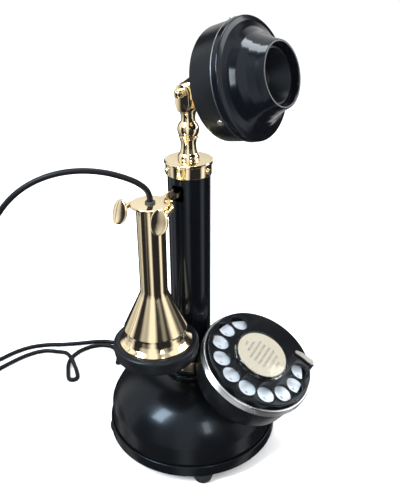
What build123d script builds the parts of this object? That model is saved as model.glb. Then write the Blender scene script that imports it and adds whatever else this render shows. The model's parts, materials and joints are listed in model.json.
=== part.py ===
from build123d import *
import math
import os

# Candlestick telephone with a rotary dial.
# Millimetres, +Z up. The origin is on the column's axis, on the surface that the feet stand on.
# The dial and the transmitter face -Y, and the receiver hangs on the -X side.

os.makedirs("parts", exist_ok=True)

# ---------------------------------------------------------------- driving sizes

gap = 0.3            # left between bodies that move past each other
fit = 0.05           # radial clearance of a shaft in its bore
close_fit = 0.1      # radial clearance of a sleeve over a tube

foot_height = 8.0
foot_radius = 7.5
foot_circle = 60.5   # radius on which the four feet sit
foot_screw_radius = 1.9

pan_radius = 67.0
pan_height = 8.8
pan_floor = 2.0
pan_rim = 1.7

shell_radius = 65.0      # at the foot of the wall
shell_height = 53.0      # pan underside to the flat top
shoulder_radius = 64.4
shoulder_height = 24.0   # above the pan's underside
shoulder_fillet = 5.0
shell_top_radius = 22.5
shell_bulge = 8.5        # rise of the dome over its chord
shell_wall = 2.4

column_radius = 14.9
column_wall = 1.6
column_top = 230.1
flange_radius = 22.0
flange_height = 3.2
step_radius = 18.6
step_height = 1.7

collar_radius = 16.9
collar_skirt_radius = 16.1
collar_skirt = 7.8
collar_thickness = 2.0

band_radius = 17.5
band_height = 8.6
ear_gap = 4.4
ear_thickness = 3.0
ear_reach = 27.0

neck_radius = 5.8
neck_base_radius = 7.4
neck_bead_radius = 7.4
neck_waist_radius = 5.5
neck_bead_rise = 20.5    # above the collar's top
fork_half_width = 6.8    # along X
fork_half_depth = 5.7    # along Y
fork_slot_half = 3.2
tilt_rise = 45.7         # tilt pivot above the collar's top
tilt_bolt_radius = 2.5

transmitter_tilt = 15.2  # degrees above level, at rest
cup_back = 29.45         # from the tilt pivot, along the transmitter's axis
cup_depth = 18.15
cup_back_radius = 34.8
cup_front_radius = 36.1
cup_wall = 1.8
seam_thickness = 0.8
face_radius = 36.8
face_skirt = 4.35
horn_length = 19.3
horn_rim_radius = 19.6
horn_wall = 1.5

hook_turn = 4.9          # degrees that the hook stands round from -X, towards the front
hook_height = 212.7
hook_thickness = 3.0
hook_pin_radius = 2.0
receiver_reach = 45.5    # column axis to receiver axis
fork_inner_radius = 10.5
fork_outer_radius = 15.6

receiver_flange_radius = 13.1
receiver_flange = 1.5
receiver_tube_radius = 9.4
receiver_wall = 1.5
cone_length = 28.0
cone_radius = 22.1
cone_rim_height = 123.6
dish_radius = 25.4
dish_edge_height = 113.2
ear_cap_radius = 30.2
ear_cap_bottom = 101.6
diaphragm_radius = 26.0

dial_centre = (0.0, -62.9, 95.8)  # middle of the finger wheel's outer face
dial_slope = 26.7                 # degrees that the dial leans forward from facing straight up
wheel_radius = 39.7
wheel_thickness = 2.2
hole_count = 10
hole_radius = 6.4
hole_circle = 31.1
first_hole = 69.0                 # degrees from the right-hand side
hole_step = 25.75
label_radius = 20.1
label_height = 3.4
plate_depth = 5.4                 # top of the number plate below the wheel's face
bezel_radius = 42.5
bezel_depth = 4.6
bezel_height = 6.2
housing_depth = 36.0
housing_top_radius = 40.9
housing_bottom_radius = 37.2
housing_wall = 2.0
housing_fillet = 6.0

gear_module = 0.8
gear_teeth = 48
pinion_teeth = 12
gear_thickness = 2.0
spindle_radius = 3.0
governor_radius = 1.5
governor_angle = 45.0

cord_diameter = 3.8
coil_mean_radius = 21.0
coil_columns = 3
coil_layers = 4
gland_height = 24.0
receiver_gland_angle = 76.0
line_gland_angle = 88.0
gland_reach = 9.0

# ---------------------------------------------------------------- worked-out places

pan_top = foot_height + pan_height
floor_top = foot_height + pan_floor
shell_top = foot_height + shell_height
flange_top = shell_top + flange_height
step_top = flange_top + step_height
collar_top = column_top + collar_thickness
tilt_height = collar_top + tilt_rise
cord_radius = cord_diameter / 2
cord_floor = cord_radius + fit

hook_place = Location((0, 0, hook_height), (0, 0, hook_turn))
receiver_place = Location((0, 0, 0), (0, 0, hook_turn)) * Pos(-receiver_reach, 0, 0)
tilt = math.radians(transmitter_tilt)
transmitter_place = Plane(
    origin=(0, 0, tilt_height), x_dir=(1, 0, 0), z_dir=(0, -math.cos(tilt), math.sin(tilt))
).location
slope = math.radians(dial_slope)
dial_place = Plane(
    origin=dial_centre, x_dir=(1, 0, 0), z_dir=(0, -math.sin(slope), math.cos(slope))
).location

# ---------------------------------------------------------------- shapes used again and again


def turned(*corners):
    """A solid turned about Z from (radius, height) corners; a third number rounds a corner."""
    points = [(corner[0], 0, corner[1]) for corner in corners]
    radii = [corner[2] if len(corner) > 2 else 0 for corner in corners]
    outline = FilletPolyline(*points, radius=radii, close=True)
    return revolve(make_face(outline), Axis.Z)


def ring(outer, inner, low, high):
    return turned((inner, low), (outer, low), (outer, high), (inner, high))


def rod(radius, low, high):
    return Pos(0, 0, low) * Cylinder(
        radius, high - low, align=(Align.CENTER, Align.CENTER, Align.MIN)
    )


def block(x0, x1, y0, y1, z0, z1):
    return Pos((x0 + x1) / 2, (y0 + y1) / 2, (z0 + z1) / 2) * Box(x1 - x0, y1 - y0, z1 - z0)


def across_x(solid):
    """Lay a solid built along Z along X instead."""
    return Rot(0, 90, 0) * solid


def across_y(solid):
    """Lay a solid built along Z along Y instead."""
    return Rot(-90, 0, 0) * solid


def around(radius, count, start=0.0):
    step = 360 / count
    return [Rot(0, 0, start + step * i) * Pos(radius, 0, 0) for i in range(count)]


def screw(shank_radius, length, head_radius, head_height):
    """A round-headed slotted screw: head above Z = 0, shank below."""
    head = turned((0, 0), (head_radius, 0), (head_radius, head_height, head_height * 0.6),
                  (0, head_height))
    slot = block(-head_radius, head_radius, -head_radius * 0.15, head_radius * 0.15,
                 head_height * 0.55, head_height + 1)
    return head - slot + rod(shank_radius, -length, 0)


def save(name, *solids):
    shape = solids[0] if len(solids) == 1 else Compound(list(solids))
    export_step(shape, f"parts/{name}.step")


# ---------------------------------------------------------------- base

foot_places = around(foot_circle, 4, 45)
foot_hole = foot_screw_radius + close_fit
head_radius = 3.0
head_height = 2.0
head_recess = 3.2

foot = turned((foot_hole, head_recess), (head_radius + gap, head_recess), (head_radius + gap, 0),
              (foot_radius - 1.6, 0, 1.2), (foot_radius, foot_height * 0.6, 1.5),
              (foot_radius, foot_height), (foot_hole, foot_height))
save("rubber_feet", *[place * foot for place in foot_places])

boss_height = 18.0
foot_screw = screw(foot_screw_radius, floor_top + boss_height * 0.7 - head_recess,
                   head_radius, head_height)
upside_down = Rot(180, 0, 0)
save("foot_screws", *[place * Pos(0, 0, head_recess) * upside_down * foot_screw
                      for place in foot_places])

board_half_length = 30.0
board_half_width = 20.0
board_thickness = 1.6
board_height = 15.0      # above the pan's floor
post_radius = 3.0
board_screw_radius = 1.2
board_inset = 4.0
board_top = floor_top + board_height + board_thickness
post_places = [Pos(x * (board_half_length - board_inset), y * (board_half_width - board_inset), 0)
               for x in (-1, 1) for y in (-1, 1)]
sounder_radius = 15.0
sounder_height = 6.0
sound_hole_radius = 1.5
ballast_outer = 55.5
ballast_inner = 39.0
ballast_height = 6.0
peg_radius = 2.0
peg_places = around((ballast_outer + ballast_inner) / 2, 3, 90)

pan = turned((0, foot_height), (pan_radius, foot_height, 1.0), (pan_radius - 0.4, pan_top, 0.7),
             (pan_radius - pan_rim, pan_top, 0.4), (pan_radius - pan_rim, floor_top),
             (0, floor_top))
for place in foot_places:
    pan -= place * rod(foot_hole, foot_height - 1, floor_top + 1)
for place in post_places:
    post = rod(post_radius, floor_top, floor_top + board_height)
    pan += place * (post - rod(board_screw_radius + fit, floor_top + 2, floor_top + 40))
for place in peg_places:
    pan += place * rod(peg_radius, floor_top, floor_top + ballast_height)
for place in around(sounder_radius * 0.55, 8) + [Pos(0, 0, 0)]:
    pan -= place * rod(sound_hole_radius, foot_height - 1, floor_top + 1)
save("base_pan", pan)


def dome(inset):
    """The shell's outer form, moved inwards by inset, standing on the pan's floor."""
    foot_of_wall = (shell_radius - inset, 0, floor_top)
    shoulder = (shoulder_radius - inset, 0, foot_height + shoulder_height - inset * 0.6)
    crown = (shell_top_radius - inset * 0.3, 0, shell_top - inset)
    chord = Vector(*crown) - Vector(*shoulder)
    outward = Vector(chord.Z, 0, -chord.X).normalized()
    middle = (Vector(*crown) + Vector(*shoulder)) * 0.5 + outward * shell_bulge
    outline = [
        Line((0, 0, floor_top), foot_of_wall),
        Line(foot_of_wall, shoulder),
        ThreePointArc(shoulder, tuple(middle), crown),
        Line(crown, (0, 0, shell_top - inset)),
        Line((0, 0, shell_top - inset), (0, 0, floor_top)),
    ]
    section = make_face(outline)
    corner = section.vertices().sort_by_distance(shoulder)[0]
    section = fillet(corner, shoulder_fillet - inset * 0.5)
    return revolve(section, Axis.Z)


def gland_place(angle):
    """At the gland's seat on the shell's wall, with +Z pointing straight out of the base."""
    seat = shell_radius - 0.35
    direction = (math.cos(math.radians(angle)), math.sin(math.radians(angle)), 0)
    origin = (direction[0] * seat, direction[1] * seat, gland_height)
    return Plane(origin=origin, x_dir=(0, 0, 1), z_dir=direction).location


gland_places = [gland_place(receiver_gland_angle), gland_place(line_gland_angle)]
gland_neck = 3.4
gland_flange = 5.0
gland_flange_thickness = 1.4
gland_tip = 2.6

cavity = dome(shell_wall)
shell = dome(0) - cavity
for place in foot_places:
    post = place * rod(4.0, floor_top, floor_top + boss_height)
    shell += post & dome(shell_wall / 2)
    shell -= place * rod(foot_screw_radius + fit, floor_top - 1, floor_top + boss_height * 0.8)
shell -= rod(column_radius + close_fit, shell_top - 10, shell_top + 10)
for place in gland_places:
    shell -= place * rod(gland_neck + fit, -8, 8)
save("base_shell", shell)

gland = turned((0, -5), (gland_neck, -5), (gland_neck, 0.5), (gland_flange, 0.5),
               (gland_flange, 0.5 + gland_flange_thickness, 0.5), (gland_neck, 2.2),
               (gland_tip, gland_reach), (0, gland_reach))
save("cord_glands", *[place * gland for place in gland_places])

ballast = ring(ballast_outer, ballast_inner, floor_top, floor_top + ballast_height)
for place in peg_places:
    ballast -= place * rod(peg_radius + close_fit, floor_top - 1, floor_top + ballast_height + 1)
save("ballast_ring", ballast)

sounder = rod(sounder_radius, floor_top, floor_top + sounder_height)
sounder += rod(sounder_radius * 0.35, floor_top, floor_top + sounder_height + 1.5)
save("sounder", sounder)

board_bottom = floor_top + board_height
board = block(-board_half_length, board_half_length, -board_half_width, board_half_width,
              board_bottom, board_top)
for place in post_places:
    board -= place * rod(board_screw_radius + close_fit, board_bottom - 1, board_top + 1)
chip_places = [(-8, -10), (10, -10)]
for x, y in chip_places:
    board += block(x - 5, x + 5, y - 3.2, y + 3.2, board_top, board_top + 3.4)
can_places = [(-19, 2), (-11, 2), (3, 1), (12, 1)]
for x, y in can_places:
    board += Pos(x, y, 0) * rod(3.0, board_top, board_top + 8)
save("circuit_board", board)

board_screw = screw(board_screw_radius, 8, 2.2, 1.4)
save("board_screws", *[place * Pos(0, 0, board_top) * board_screw for place in post_places])

terminal_x = 12.0
terminals = block(-terminal_x, terminal_x, board_half_width - 10.5, board_half_width - 2,
                  board_top, board_top + 9)
terminal_places = [Pos(-9 + 6 * i, board_half_width - 6.2, 0) for i in range(4)]
for place in terminal_places:
    terminals -= place * rod(1.9, board_top + 5, board_top + 10)
    terminals -= place * block(-1.6, 1.6, 0, 6, board_top + 2.0, board_top + 4.5)
save("terminal_block", terminals)

# ---------------------------------------------------------------- column

column_foot = turned((column_radius + close_fit, shell_top), (flange_radius, shell_top),
                     (flange_radius, flange_top, 1.6), (step_radius, flange_top),
                     (step_radius, step_top, 0.6), (column_radius + close_fit, step_top))
save("column_foot", column_foot)

column_bottom = shell_top - 11.0
column_bore = column_radius - column_wall
nut_thickness = 6.0
shell_ceiling = shell_top - shell_wall
nut = extrude(RegularPolygon(21.0, 6), nut_thickness)
nut = Pos(0, 0, shell_ceiling - nut_thickness) * nut
nut -= rod(column_radius + fit, 0, shell_top)
save("column_nut", nut)

slot_half_width = 4.6
slot_low = hook_height - 7.0
slot_high = hook_height + 4.5
collar_screw_height = column_top - collar_skirt * 0.5
collar_screw_places = [Rot(0, 0, angle) * Pos(collar_skirt_radius, 0, collar_screw_height)
                       for angle in (-90, 30, 150)]
small_screw_radius = 1.2
small_screw = screw(small_screw_radius, 3.6, 2.0, 1.2)
block_screw_height = hook_height - 30.0
block_screw_place = Pos(column_radius, 0, block_screw_height)
outwards = Rot(0, 90, 0)

column = ring(column_radius, column_bore, column_bottom, column_top)
column -= Rot(0, 0, hook_turn) * block(-column_radius - 5, 0, -slot_half_width, slot_half_width,
                                       slot_low, slot_high)
column -= hook_place * across_y(rod(hook_pin_radius + fit, -40, 40))
for place in collar_screw_places + [block_screw_place]:
    column -= place * outwards * rod(small_screw_radius + fit, -5, 5)
save("column_tube", column)

collar = ring(collar_skirt_radius, column_radius + close_fit, column_top - collar_skirt, column_top)
collar += turned((0, column_top), (collar_radius, column_top, 0.7),
                 (collar_radius, collar_top, 0.9), (0, collar_top))
neck_stud = 3.0
collar -= rod(neck_stud + fit, column_top - 1, collar_top + 1)
for place in collar_screw_places:
    collar -= place * outwards * rod(small_screw_radius + fit, -5, 5)
save("top_collar", collar)

column_screws = [place * outwards * small_screw
                 for place in collar_screw_places + [block_screw_place]]
save("column_screws", *column_screws)

band_low = step_top + fit
band_high = band_low + band_height
ear_inner = ear_gap / 2
ear_outer = ear_inner + ear_thickness
clamp_y = -(band_radius + ear_reach) / 2
clamp_z = (band_low + band_high) / 2
clamp_screw_radius = 1.6
band = ring(band_radius, column_radius + fit, band_low, band_high)
for side in (-1, 1):
    x0, x1 = sorted((side * ear_inner, side * ear_outer))
    ear = block(x0, x1, -ear_reach, -column_radius - 1, band_low, band_high)
    ear = fillet(ear.edges().filter_by(Axis.X).group_by(Axis.Y)[0], 3.0)
    band += ear
band -= block(-ear_inner, ear_inner, -ear_reach - 1, 0, band_low - 1, band_high + 1)
clamp_place = Pos(0, clamp_y, clamp_z)
band -= clamp_place * across_x(rod(clamp_screw_radius + fit, -20, 20))
save("clamp_band", band)

clamp_head = 3.2
nut_height = 2.6
to_left = Rot(0, -90, 0)
clamp_screw = clamp_place * Pos(-ear_outer, 0, 0) * to_left * screw(
    clamp_screw_radius, ear_outer * 2 + nut_height + 1, clamp_head, 2.0)
clamp_nut = extrude(RegularPolygon(3.4, 6), nut_height) - rod(clamp_screw_radius + fit, -1, 9)
clamp_nut = clamp_place * Pos(ear_outer, 0, 0) * across_x(clamp_nut)
save("clamp_screw", clamp_screw, clamp_nut)

# ---------------------------------------------------------------- neck and tilt joint

shoulder_low = tilt_height - 14.3
shoulder_high = tilt_height - 10.2
slot_floor = tilt_height - 9.0
neck = turned((0, collar_top), (neck_base_radius, collar_top), (neck_base_radius, collar_top + 4.4, 1.0),
              (neck_radius, collar_top + 6.6, 1.5), (neck_radius, collar_top + neck_bead_rise),
              (neck_waist_radius, collar_top + neck_bead_rise),
              (neck_waist_radius, shoulder_low, 1.5), (8.9, shoulder_high), (8.9, tilt_height),
              (0, tilt_height))
neck &= block(-fork_half_width, fork_half_width, -8.9, 8.9, collar_top, tilt_height) + rod(
    neck_base_radius, collar_top, shoulder_low)
cheeks = block(-fork_half_width, fork_half_width, -fork_half_depth, fork_half_depth,
               shoulder_high, tilt_height)
cheeks += Pos(0, 0, tilt_height) * across_x(rod(fork_half_depth, -fork_half_width, fork_half_width))
shank = rod(9.0, collar_top, shoulder_high)
neck = (neck & shank) + cheeks
neck += Pos(0, 0, collar_top + neck_bead_rise) * Sphere(neck_bead_radius)
neck -= block(-fork_slot_half, fork_slot_half, -20, 20, slot_floor, tilt_height + 20)
tilt_place = Pos(0, 0, tilt_height)
neck -= tilt_place * across_x(rod(tilt_bolt_radius + fit, -20, 20))
neck += rod(neck_stud, column_top - 6, collar_top)
save("neck_post", neck)

bolt_head = 3.2
bolt_head_reach = 2.9
tilt_nut_height = 4.0
bolt = across_x(rod(tilt_bolt_radius, -fork_half_width - bolt_head_reach,
                    fork_half_width + tilt_nut_height + 1))
bolt += across_x(rod(2.9, -fork_half_width - 1.2, -fork_half_width))
bolt += Pos(-fork_half_width - bolt_head_reach, 0, 0) * Sphere(bolt_head)
bolt -= block(-fork_half_width, -fork_half_width + 0.5, -5, 5, -5, -tilt_bolt_radius)
wing_nut = turned((tilt_bolt_radius + fit, 0), (4.6, 0, 0.5), (4.6, tilt_nut_height, 0.5),
                  (tilt_bolt_radius + fit, tilt_nut_height))
wing_nut = Pos(fork_half_width, 0, 0) * across_x(wing_nut)
save("tilt_bolt", tilt_place * bolt, tilt_place * wing_nut)

# ---------------------------------------------------------------- transmitter, along its own axis

lug_half = 3.0
knuckle = 6.3
lug_plate = 3.0
lug_plate_radius = 13.0
lug_profile = make_face(Polyline((0, 0, -knuckle), (0, 0, knuckle), (0, 9, 9.5),
                                 (0, cup_back - lug_plate / 2, 10.5),
                                 (0, cup_back - lug_plate / 2, -9.0), (0, 10, -knuckle), close=True))
lug_arm = extrude(lug_profile, lug_half, both=True, dir=(1, 0, 0))
lug = Plane(origin=(0, 0, 0), x_dir=(-1, 0, 0), z_dir=(0, 1, 0)).location * lug_arm
lug += across_x(rod(knuckle, -lug_half, lug_half))
lug += rod(lug_plate_radius, cup_back - lug_plate, cup_back)
lug -= across_x(rod(tilt_bolt_radius + fit, -20, 20))
lug_screw_radius = 1.4
lug_screw_places = around(9.0, 3, 0)
for place in lug_screw_places:
    lug -= place * rod(lug_screw_radius + fit, cup_back - lug_plate - 9, cup_back + 1)
save("transmitter_lug", transmitter_place * lug)

cup_front = cup_back + cup_depth
seam_front = cup_front + seam_thickness
face_front = seam_front + face_skirt
horn_front = face_front + horn_length
cup_bore = cup_back_radius - cup_wall
cup_screw_depth = cup_front - 2.6
cup_screw_places = [Rot(0, 0, angle) * Pos(cup_front_radius, 0, cup_screw_depth)
                    for angle in (90, 210, 330)]

cup = turned((0, cup_back), (cup_back_radius, cup_back, 3.0), (cup_front_radius, cup_front),
             (cup_bore, cup_front), (cup_bore, cup_back + 2.2, 2.0), (0, cup_back + 2.2))
cup -= rod(3.5, cup_back - 1, cup_back + 5)
for place in lug_screw_places:
    cup -= place * rod(lug_screw_radius + fit, cup_back - 1, cup_back + 5)
for place in cup_screw_places:
    cup -= place * outwards * rod(small_screw_radius + fit, -6, 5)
save("transmitter_cup", transmitter_place * cup)

save("seam_ring", transmitter_place * ring(face_radius + 0.15, cup_bore, cup_front, seam_front))

spigot_radius = cup_bore - close_fit
spigot_wall = 2.4
liner_radius = 15.0
liner_lip_radius = 17.0
liner_lip = horn_front - 4.6
capsule_front = seam_front + 0.6
horn_foot = 33.4
face = turned(
    (spigot_radius - spigot_wall, cup_front - 5.5), (spigot_radius, cup_front - 5.5),
    (spigot_radius, seam_front), (face_radius, seam_front), (face_radius, face_front - 0.3, 0.7),
    (horn_foot, face_front + 0.4, 1.5), (26.6, face_front + 5.2, 9.0),
    (22.3, face_front + 11.5, 14.0),
    (horn_rim_radius, horn_front, 0.5), (horn_rim_radius - horn_wall, horn_front, 0.5),
    (liner_lip_radius + fit, liner_lip), (liner_lip_radius + fit, liner_lip - 1.5),
    (liner_radius + fit, liner_lip - 1.5), (liner_radius + fit, capsule_front),
    (liner_radius + 4.5, capsule_front), (liner_radius + 4.5, face_front + 0.5),
    (spigot_radius - spigot_wall, face_front - 2.2))
for place in cup_screw_places:
    face -= place * outwards * rod(small_screw_radius + fit, -6, 5)
save("transmitter_face", transmitter_place * face)

grille_back = face_front + 0.5
mouthpiece = turned((0, grille_back), (liner_radius, grille_back), (liner_radius, liner_lip - 1.5),
                    (liner_lip_radius, liner_lip - 1.5), (liner_lip_radius, liner_lip, 0.5),
                    (liner_lip_radius - 1.6, liner_lip, 0.4), (9.0, grille_back + 2.4, 1.5),
                    (0, grille_back + 1.6))
grille_places = around(3.2, 6) + around(6.0, 12) + [Pos(0, 0, 0)]
for place in grille_places:
    mouthpiece -= place * rod(0.75, grille_back - 1, grille_back + 4)
save("mouthpiece", transmitter_place * mouthpiece)

capsule_radius = 19.0
capsule = turned((0, capsule_front - 13), (12, capsule_front - 13, 1.0),
                 (12, capsule_front - 9), (capsule_radius, capsule_front - 9, 1.0),
                 (capsule_radius, capsule_front), (0, capsule_front))
save("mic_capsule", transmitter_place * capsule)

cup_screw = screw(small_screw_radius, 4.2, 1.9, 1.2)
lug_screw = screw(lug_screw_radius, 2.2 + lug_plate, 2.4, 1.5)
transmitter_screws = [place * outwards * cup_screw for place in cup_screw_places]
transmitter_screws += [place * Pos(0, 0, cup_back + 2.2) * lug_screw for place in lug_screw_places]
save("transmitter_screws", *[transmitter_place * each for each in transmitter_screws])

# ---------------------------------------------------------------- switch hook

half_hook = hook_thickness / 2
arm_half_width = 3.5
arm = block(-receiver_reach + fork_outer_radius - 2, 0, -arm_half_width, arm_half_width,
            -half_hook, half_hook)
arm += across_y(rod(4.2, -arm_half_width, arm_half_width))
finger_x = 5.2
arm += block(0, finger_x, -2.5, 2.5, -half_hook, half_hook)
arm += block(finger_x - 2, finger_x, -2.5, 2.5, -7.5, half_hook)

at_receiver = Pos(-receiver_reach, 0, 0)
prong_reach = 7.0
fork = rod(fork_outer_radius, -half_hook, half_hook)
fork += block(-prong_reach, 0, -fork_outer_radius, fork_outer_radius, -half_hook, half_hook)
fork -= rod(fork_inner_radius, -5, 5)
fork -= block(-40, 0, -fork_inner_radius, fork_inner_radius, -5, 5)

ear_half_width = 5.8
ear_spread = 14.7
ear_rise = 8.0
ear_drop = 8.5
ear_plate = 2.4
ear_turn = 52.0
ear_lean = 12.0
ear_face = Pos(0, (ear_rise - ear_drop) / 2) * SlotOverall(
    ear_rise + ear_drop, ear_half_width * 2, rotation=90)
ear_pad = extrude(ear_face, ear_plate / 2, both=True)
ear_stand = Plane(origin=(0, 0, 0), x_dir=(0, -1, 0), z_dir=(-1, 0, 0)).location
hook = arm
hook += at_receiver * fork
for side in (-1, 1):
    ear_pose = Pos(-10.5, side * ear_spread, -half_hook) * Rot(0, 0, -side * ear_turn)
    hook += at_receiver * ear_pose * Rot(0, ear_lean, 0) * ear_stand * ear_pad
hook -= at_receiver * rod(fork_inner_radius, -20, 20)
hook -= across_y(rod(hook_pin_radius + fit, -20, 20))
save("hook_lever", hook_place * hook)

save("hook_pin", hook_place * across_y(rod(hook_pin_radius, -column_radius + 0.4,
                                           column_radius - 0.4)))

spring_x = [finger_x + gap, finger_x + gap + 1.9, finger_x + gap + 3.8]
spring_thickness = 0.5
stack_low = -34.0
stack_high = -25.0
stack_half = 3.6
springs = [hook_place * block(x, x + spring_thickness, -2.0, 2.0, stack_high, -3.5)
           for x in spring_x]
save("contact_springs", *springs)
stack = block(spring_x[0] - 1.6, column_bore, -stack_half, stack_half, stack_low, stack_high)
stack = hook_place * stack & rod(column_bore - fit, 0, column_top)
stack -= block_screw_place * outwards * rod(small_screw_radius + fit, -6, 5)
save("spring_block", stack)

# ---------------------------------------------------------------- receiver, about its own axis

hook_top = hook_height + half_hook
flange_low = hook_top + gap
flange_high = flange_low + receiver_flange
tube_bore = receiver_tube_radius - receiver_wall
cone_top = cone_rim_height + cone_length
spigot_low = flange_low - 8.0
grommet_radius = 3.4

body = turned((tube_bore, flange_low), (receiver_tube_radius, flange_low),
              (receiver_tube_radius, cone_top, 6.0), (cone_radius, cone_rim_height),
              (cone_radius - receiver_wall - 0.4, cone_rim_height), (tube_bore, cone_top, 5.0))
save("receiver_body", receiver_place * body)

cord_hole = cord_radius + fit
top = turned((grommet_radius - 1, spigot_low), (tube_bore - fit, spigot_low),
             (tube_bore - fit, flange_low), (receiver_flange_radius, flange_low),
             (receiver_flange_radius, flange_high, 0.6), (grommet_radius - 1, flange_high))
save("receiver_top", receiver_place * top)

grommet = turned((0, flange_high - 3), (grommet_radius - 1 - fit, flange_high - 3),
                 (grommet_radius - 1 - fit, flange_high), (grommet_radius, flange_high),
                 (grommet_radius, flange_high + 1.6, 0.6), (0, flange_high + 1.6))
save("receiver_grommet", receiver_place * grommet)

dish_neck = cone_radius - 1.3
dish_foot = dish_edge_height - 4.0
dish = turned((dish_neck - 3, cone_rim_height), (dish_neck, cone_rim_height),
              (dish_neck, cone_rim_height - 2.2), (dish_neck + 0.9, dish_edge_height + 4.2, 5.0),
              (dish_radius, dish_edge_height), (dish_radius, dish_foot),
              (dish_radius - 2, dish_foot), (dish_radius - 2, dish_edge_height - 1.6),
              (dish_neck - 3, dish_edge_height + 2.0))
save("receiver_dish", receiver_place * dish)

diaphragm_thickness = 0.4
diaphragm_low = dish_foot - diaphragm_thickness
cap_hollow_radius = 21.0
cap_hollow_depth = 5.0
ear_cap = turned(
    (2.5, ear_cap_bottom + cap_hollow_depth), (12, ear_cap_bottom + cap_hollow_depth - 0.8),
    (cap_hollow_radius, ear_cap_bottom + 2.4), (cap_hollow_radius + 2.5, ear_cap_bottom, 1.0),
    (ear_cap_radius - 1.6, ear_cap_bottom, 0.6), (ear_cap_radius - 0.6, ear_cap_bottom + 2.0, 0.5),
    (ear_cap_radius, ear_cap_bottom + 6.0, 1.0), (ear_cap_radius, dish_edge_height - 0.8, 2.2),
    (dish_radius + fit, dish_edge_height - 0.8, 0.4), (dish_radius + fit, dish_foot),
    (diaphragm_radius + fit, dish_foot), (diaphragm_radius + fit, diaphragm_low),
    (dish_radius - 2.5, diaphragm_low), (dish_radius - 2.5, diaphragm_low - 0.6),
    (2.5, diaphragm_low - 0.6))
for place in around(7.0, 6):
    ear_cap -= place * rod(1.4, ear_cap_bottom, diaphragm_low)
save("ear_cap", receiver_place * ear_cap)

diaphragm = rod(diaphragm_radius, diaphragm_low, dish_foot)
save("receiver_diaphragm", receiver_place * diaphragm)

magnet_radius = 4.5
magnet = rod(magnet_radius, dish_foot + 5.0, spigot_low)
magnet += rod(10.0, dish_foot + 4.0, dish_foot + 5.5)
magnet += rod(10.0, dish_foot + 13.0, dish_foot + 14.5)
magnet += rod(8.6, dish_foot + 5.5, dish_foot + 13.0)
magnet += rod(3.0, dish_foot + 0.5, dish_foot + 4.0)
save("receiver_magnet", receiver_place * magnet)

# ---------------------------------------------------------------- dial, outward along its own axis

rear = -housing_depth
bezel_top = -bezel_depth
bezel_low = bezel_top - bezel_height
rim_radius = bezel_radius - 1.9
ledge_top = -plate_depth - 0.8
ledge_low = ledge_top - 2.0
plate_low = ledge_low - 1.5

housing = turned(
    (0, rear), (housing_bottom_radius, rear, housing_fillet), (housing_top_radius, bezel_low),
    (rim_radius, bezel_low), (rim_radius, bezel_top - 0.6, 0.4),
    (rim_radius - housing_wall, bezel_top - 0.6), (rim_radius - housing_wall, ledge_top),
    (rim_radius - housing_wall - 3, ledge_top), (rim_radius - housing_wall - 3, ledge_low),
    (housing_top_radius - housing_wall, ledge_low),
    (housing_bottom_radius - housing_wall, rear + housing_wall, housing_fillet - 2),
    (0, rear + housing_wall))
bracket_screw_radius = 1.5
bracket_screw_places = [Pos(x, 10, 0) for x in (-5.5, 5.5)]
for place in bracket_screw_places:
    housing -= place * rod(bracket_screw_radius + fit, rear - 1, rear + 5)
stop_angle = -44.0
stop_screw_depth = bezel_low - 3.5
stop_wall = housing_top_radius - 0.5
stop_screw_place = Rot(0, 0, stop_angle) * Pos(stop_wall, 0, stop_screw_depth)
housing -= stop_screw_place * outwards * rod(small_screw_radius + fit, -5, 5)
plate_screw_places = around(rim_radius - housing_wall - 1.6, 3, 20)
for place in plate_screw_places:
    housing -= place * rod(0.8 + fit, ledge_low - 1, ledge_top - 0.5)
save("dial_housing", dial_place * housing)

ridge_step = 1.4
bezel = ring(bezel_radius, rim_radius + fit, bezel_low, bezel_top)
bezel = fillet(bezel.edges().group_by(Axis.Z)[-1].sort_by(SortBy.LENGTH)[-1], 0.9)
for i in range(3):
    groove = bezel_low + 1.3 + ridge_step * i
    bezel -= turned((bezel_radius - 0.45, groove), (bezel_radius + 1, groove - 0.9),
                    (bezel_radius + 1, groove + 0.9))
stop_leg_width = 5.0
stop_leg = (rim_radius + 0.7, bezel_radius + 0.1)
notch = Rot(0, 0, stop_angle) * block(stop_leg[0] - close_fit, bezel_radius + 2,
                                      -stop_leg_width / 2 - close_fit,
                                      stop_leg_width / 2 + close_fit, bezel_low - 1, bezel_top + 1)
bezel -= notch
save("bezel_ring", dial_place * bezel)

number_plate = ring(rim_radius - housing_wall - close_fit, 9.0, ledge_top, -plate_depth)
save("number_plate", dial_place * number_plate)

stop_clear = 0.8
stop_thickness = 1.2
arm_low = stop_clear
arm_high = stop_clear + stop_thickness
stop_points = [(30.5, -27.0), (35.5, -31.5), (39.0, -37.5), (42.4, -41.2),
               (42.4, -47.4), (38.0, -45.0), (34.0, -38.5), (29.8, -32.0)]
stop_outline = [(r * math.cos(math.radians(a)), r * math.sin(math.radians(a)))
                for r, a in stop_points]
stop_radii = [1.1, 8, 6, 0.5, 0.5, 6, 8, 1.1]
stop_face = make_face(FilletPolyline(*stop_outline, radius=stop_radii, close=True))
stop = Pos(0, 0, arm_low) * extrude(stop_face, stop_thickness)
leg = block(stop_leg[0], stop_leg[1], -stop_leg_width / 2, stop_leg_width / 2,
            stop_screw_depth - 2.6, arm_high)
pad = block(stop_wall + 0.55, stop_leg[1], -stop_leg_width / 2, stop_leg_width / 2,
            stop_screw_depth - 2.6, bezel_low - 0.4)
leg = leg + pad
stop += Rot(0, 0, stop_angle) * leg
stop -= stop_screw_place * outwards * rod(small_screw_radius + fit, -5, 8)
save("finger_stop", dial_place * stop)

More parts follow.
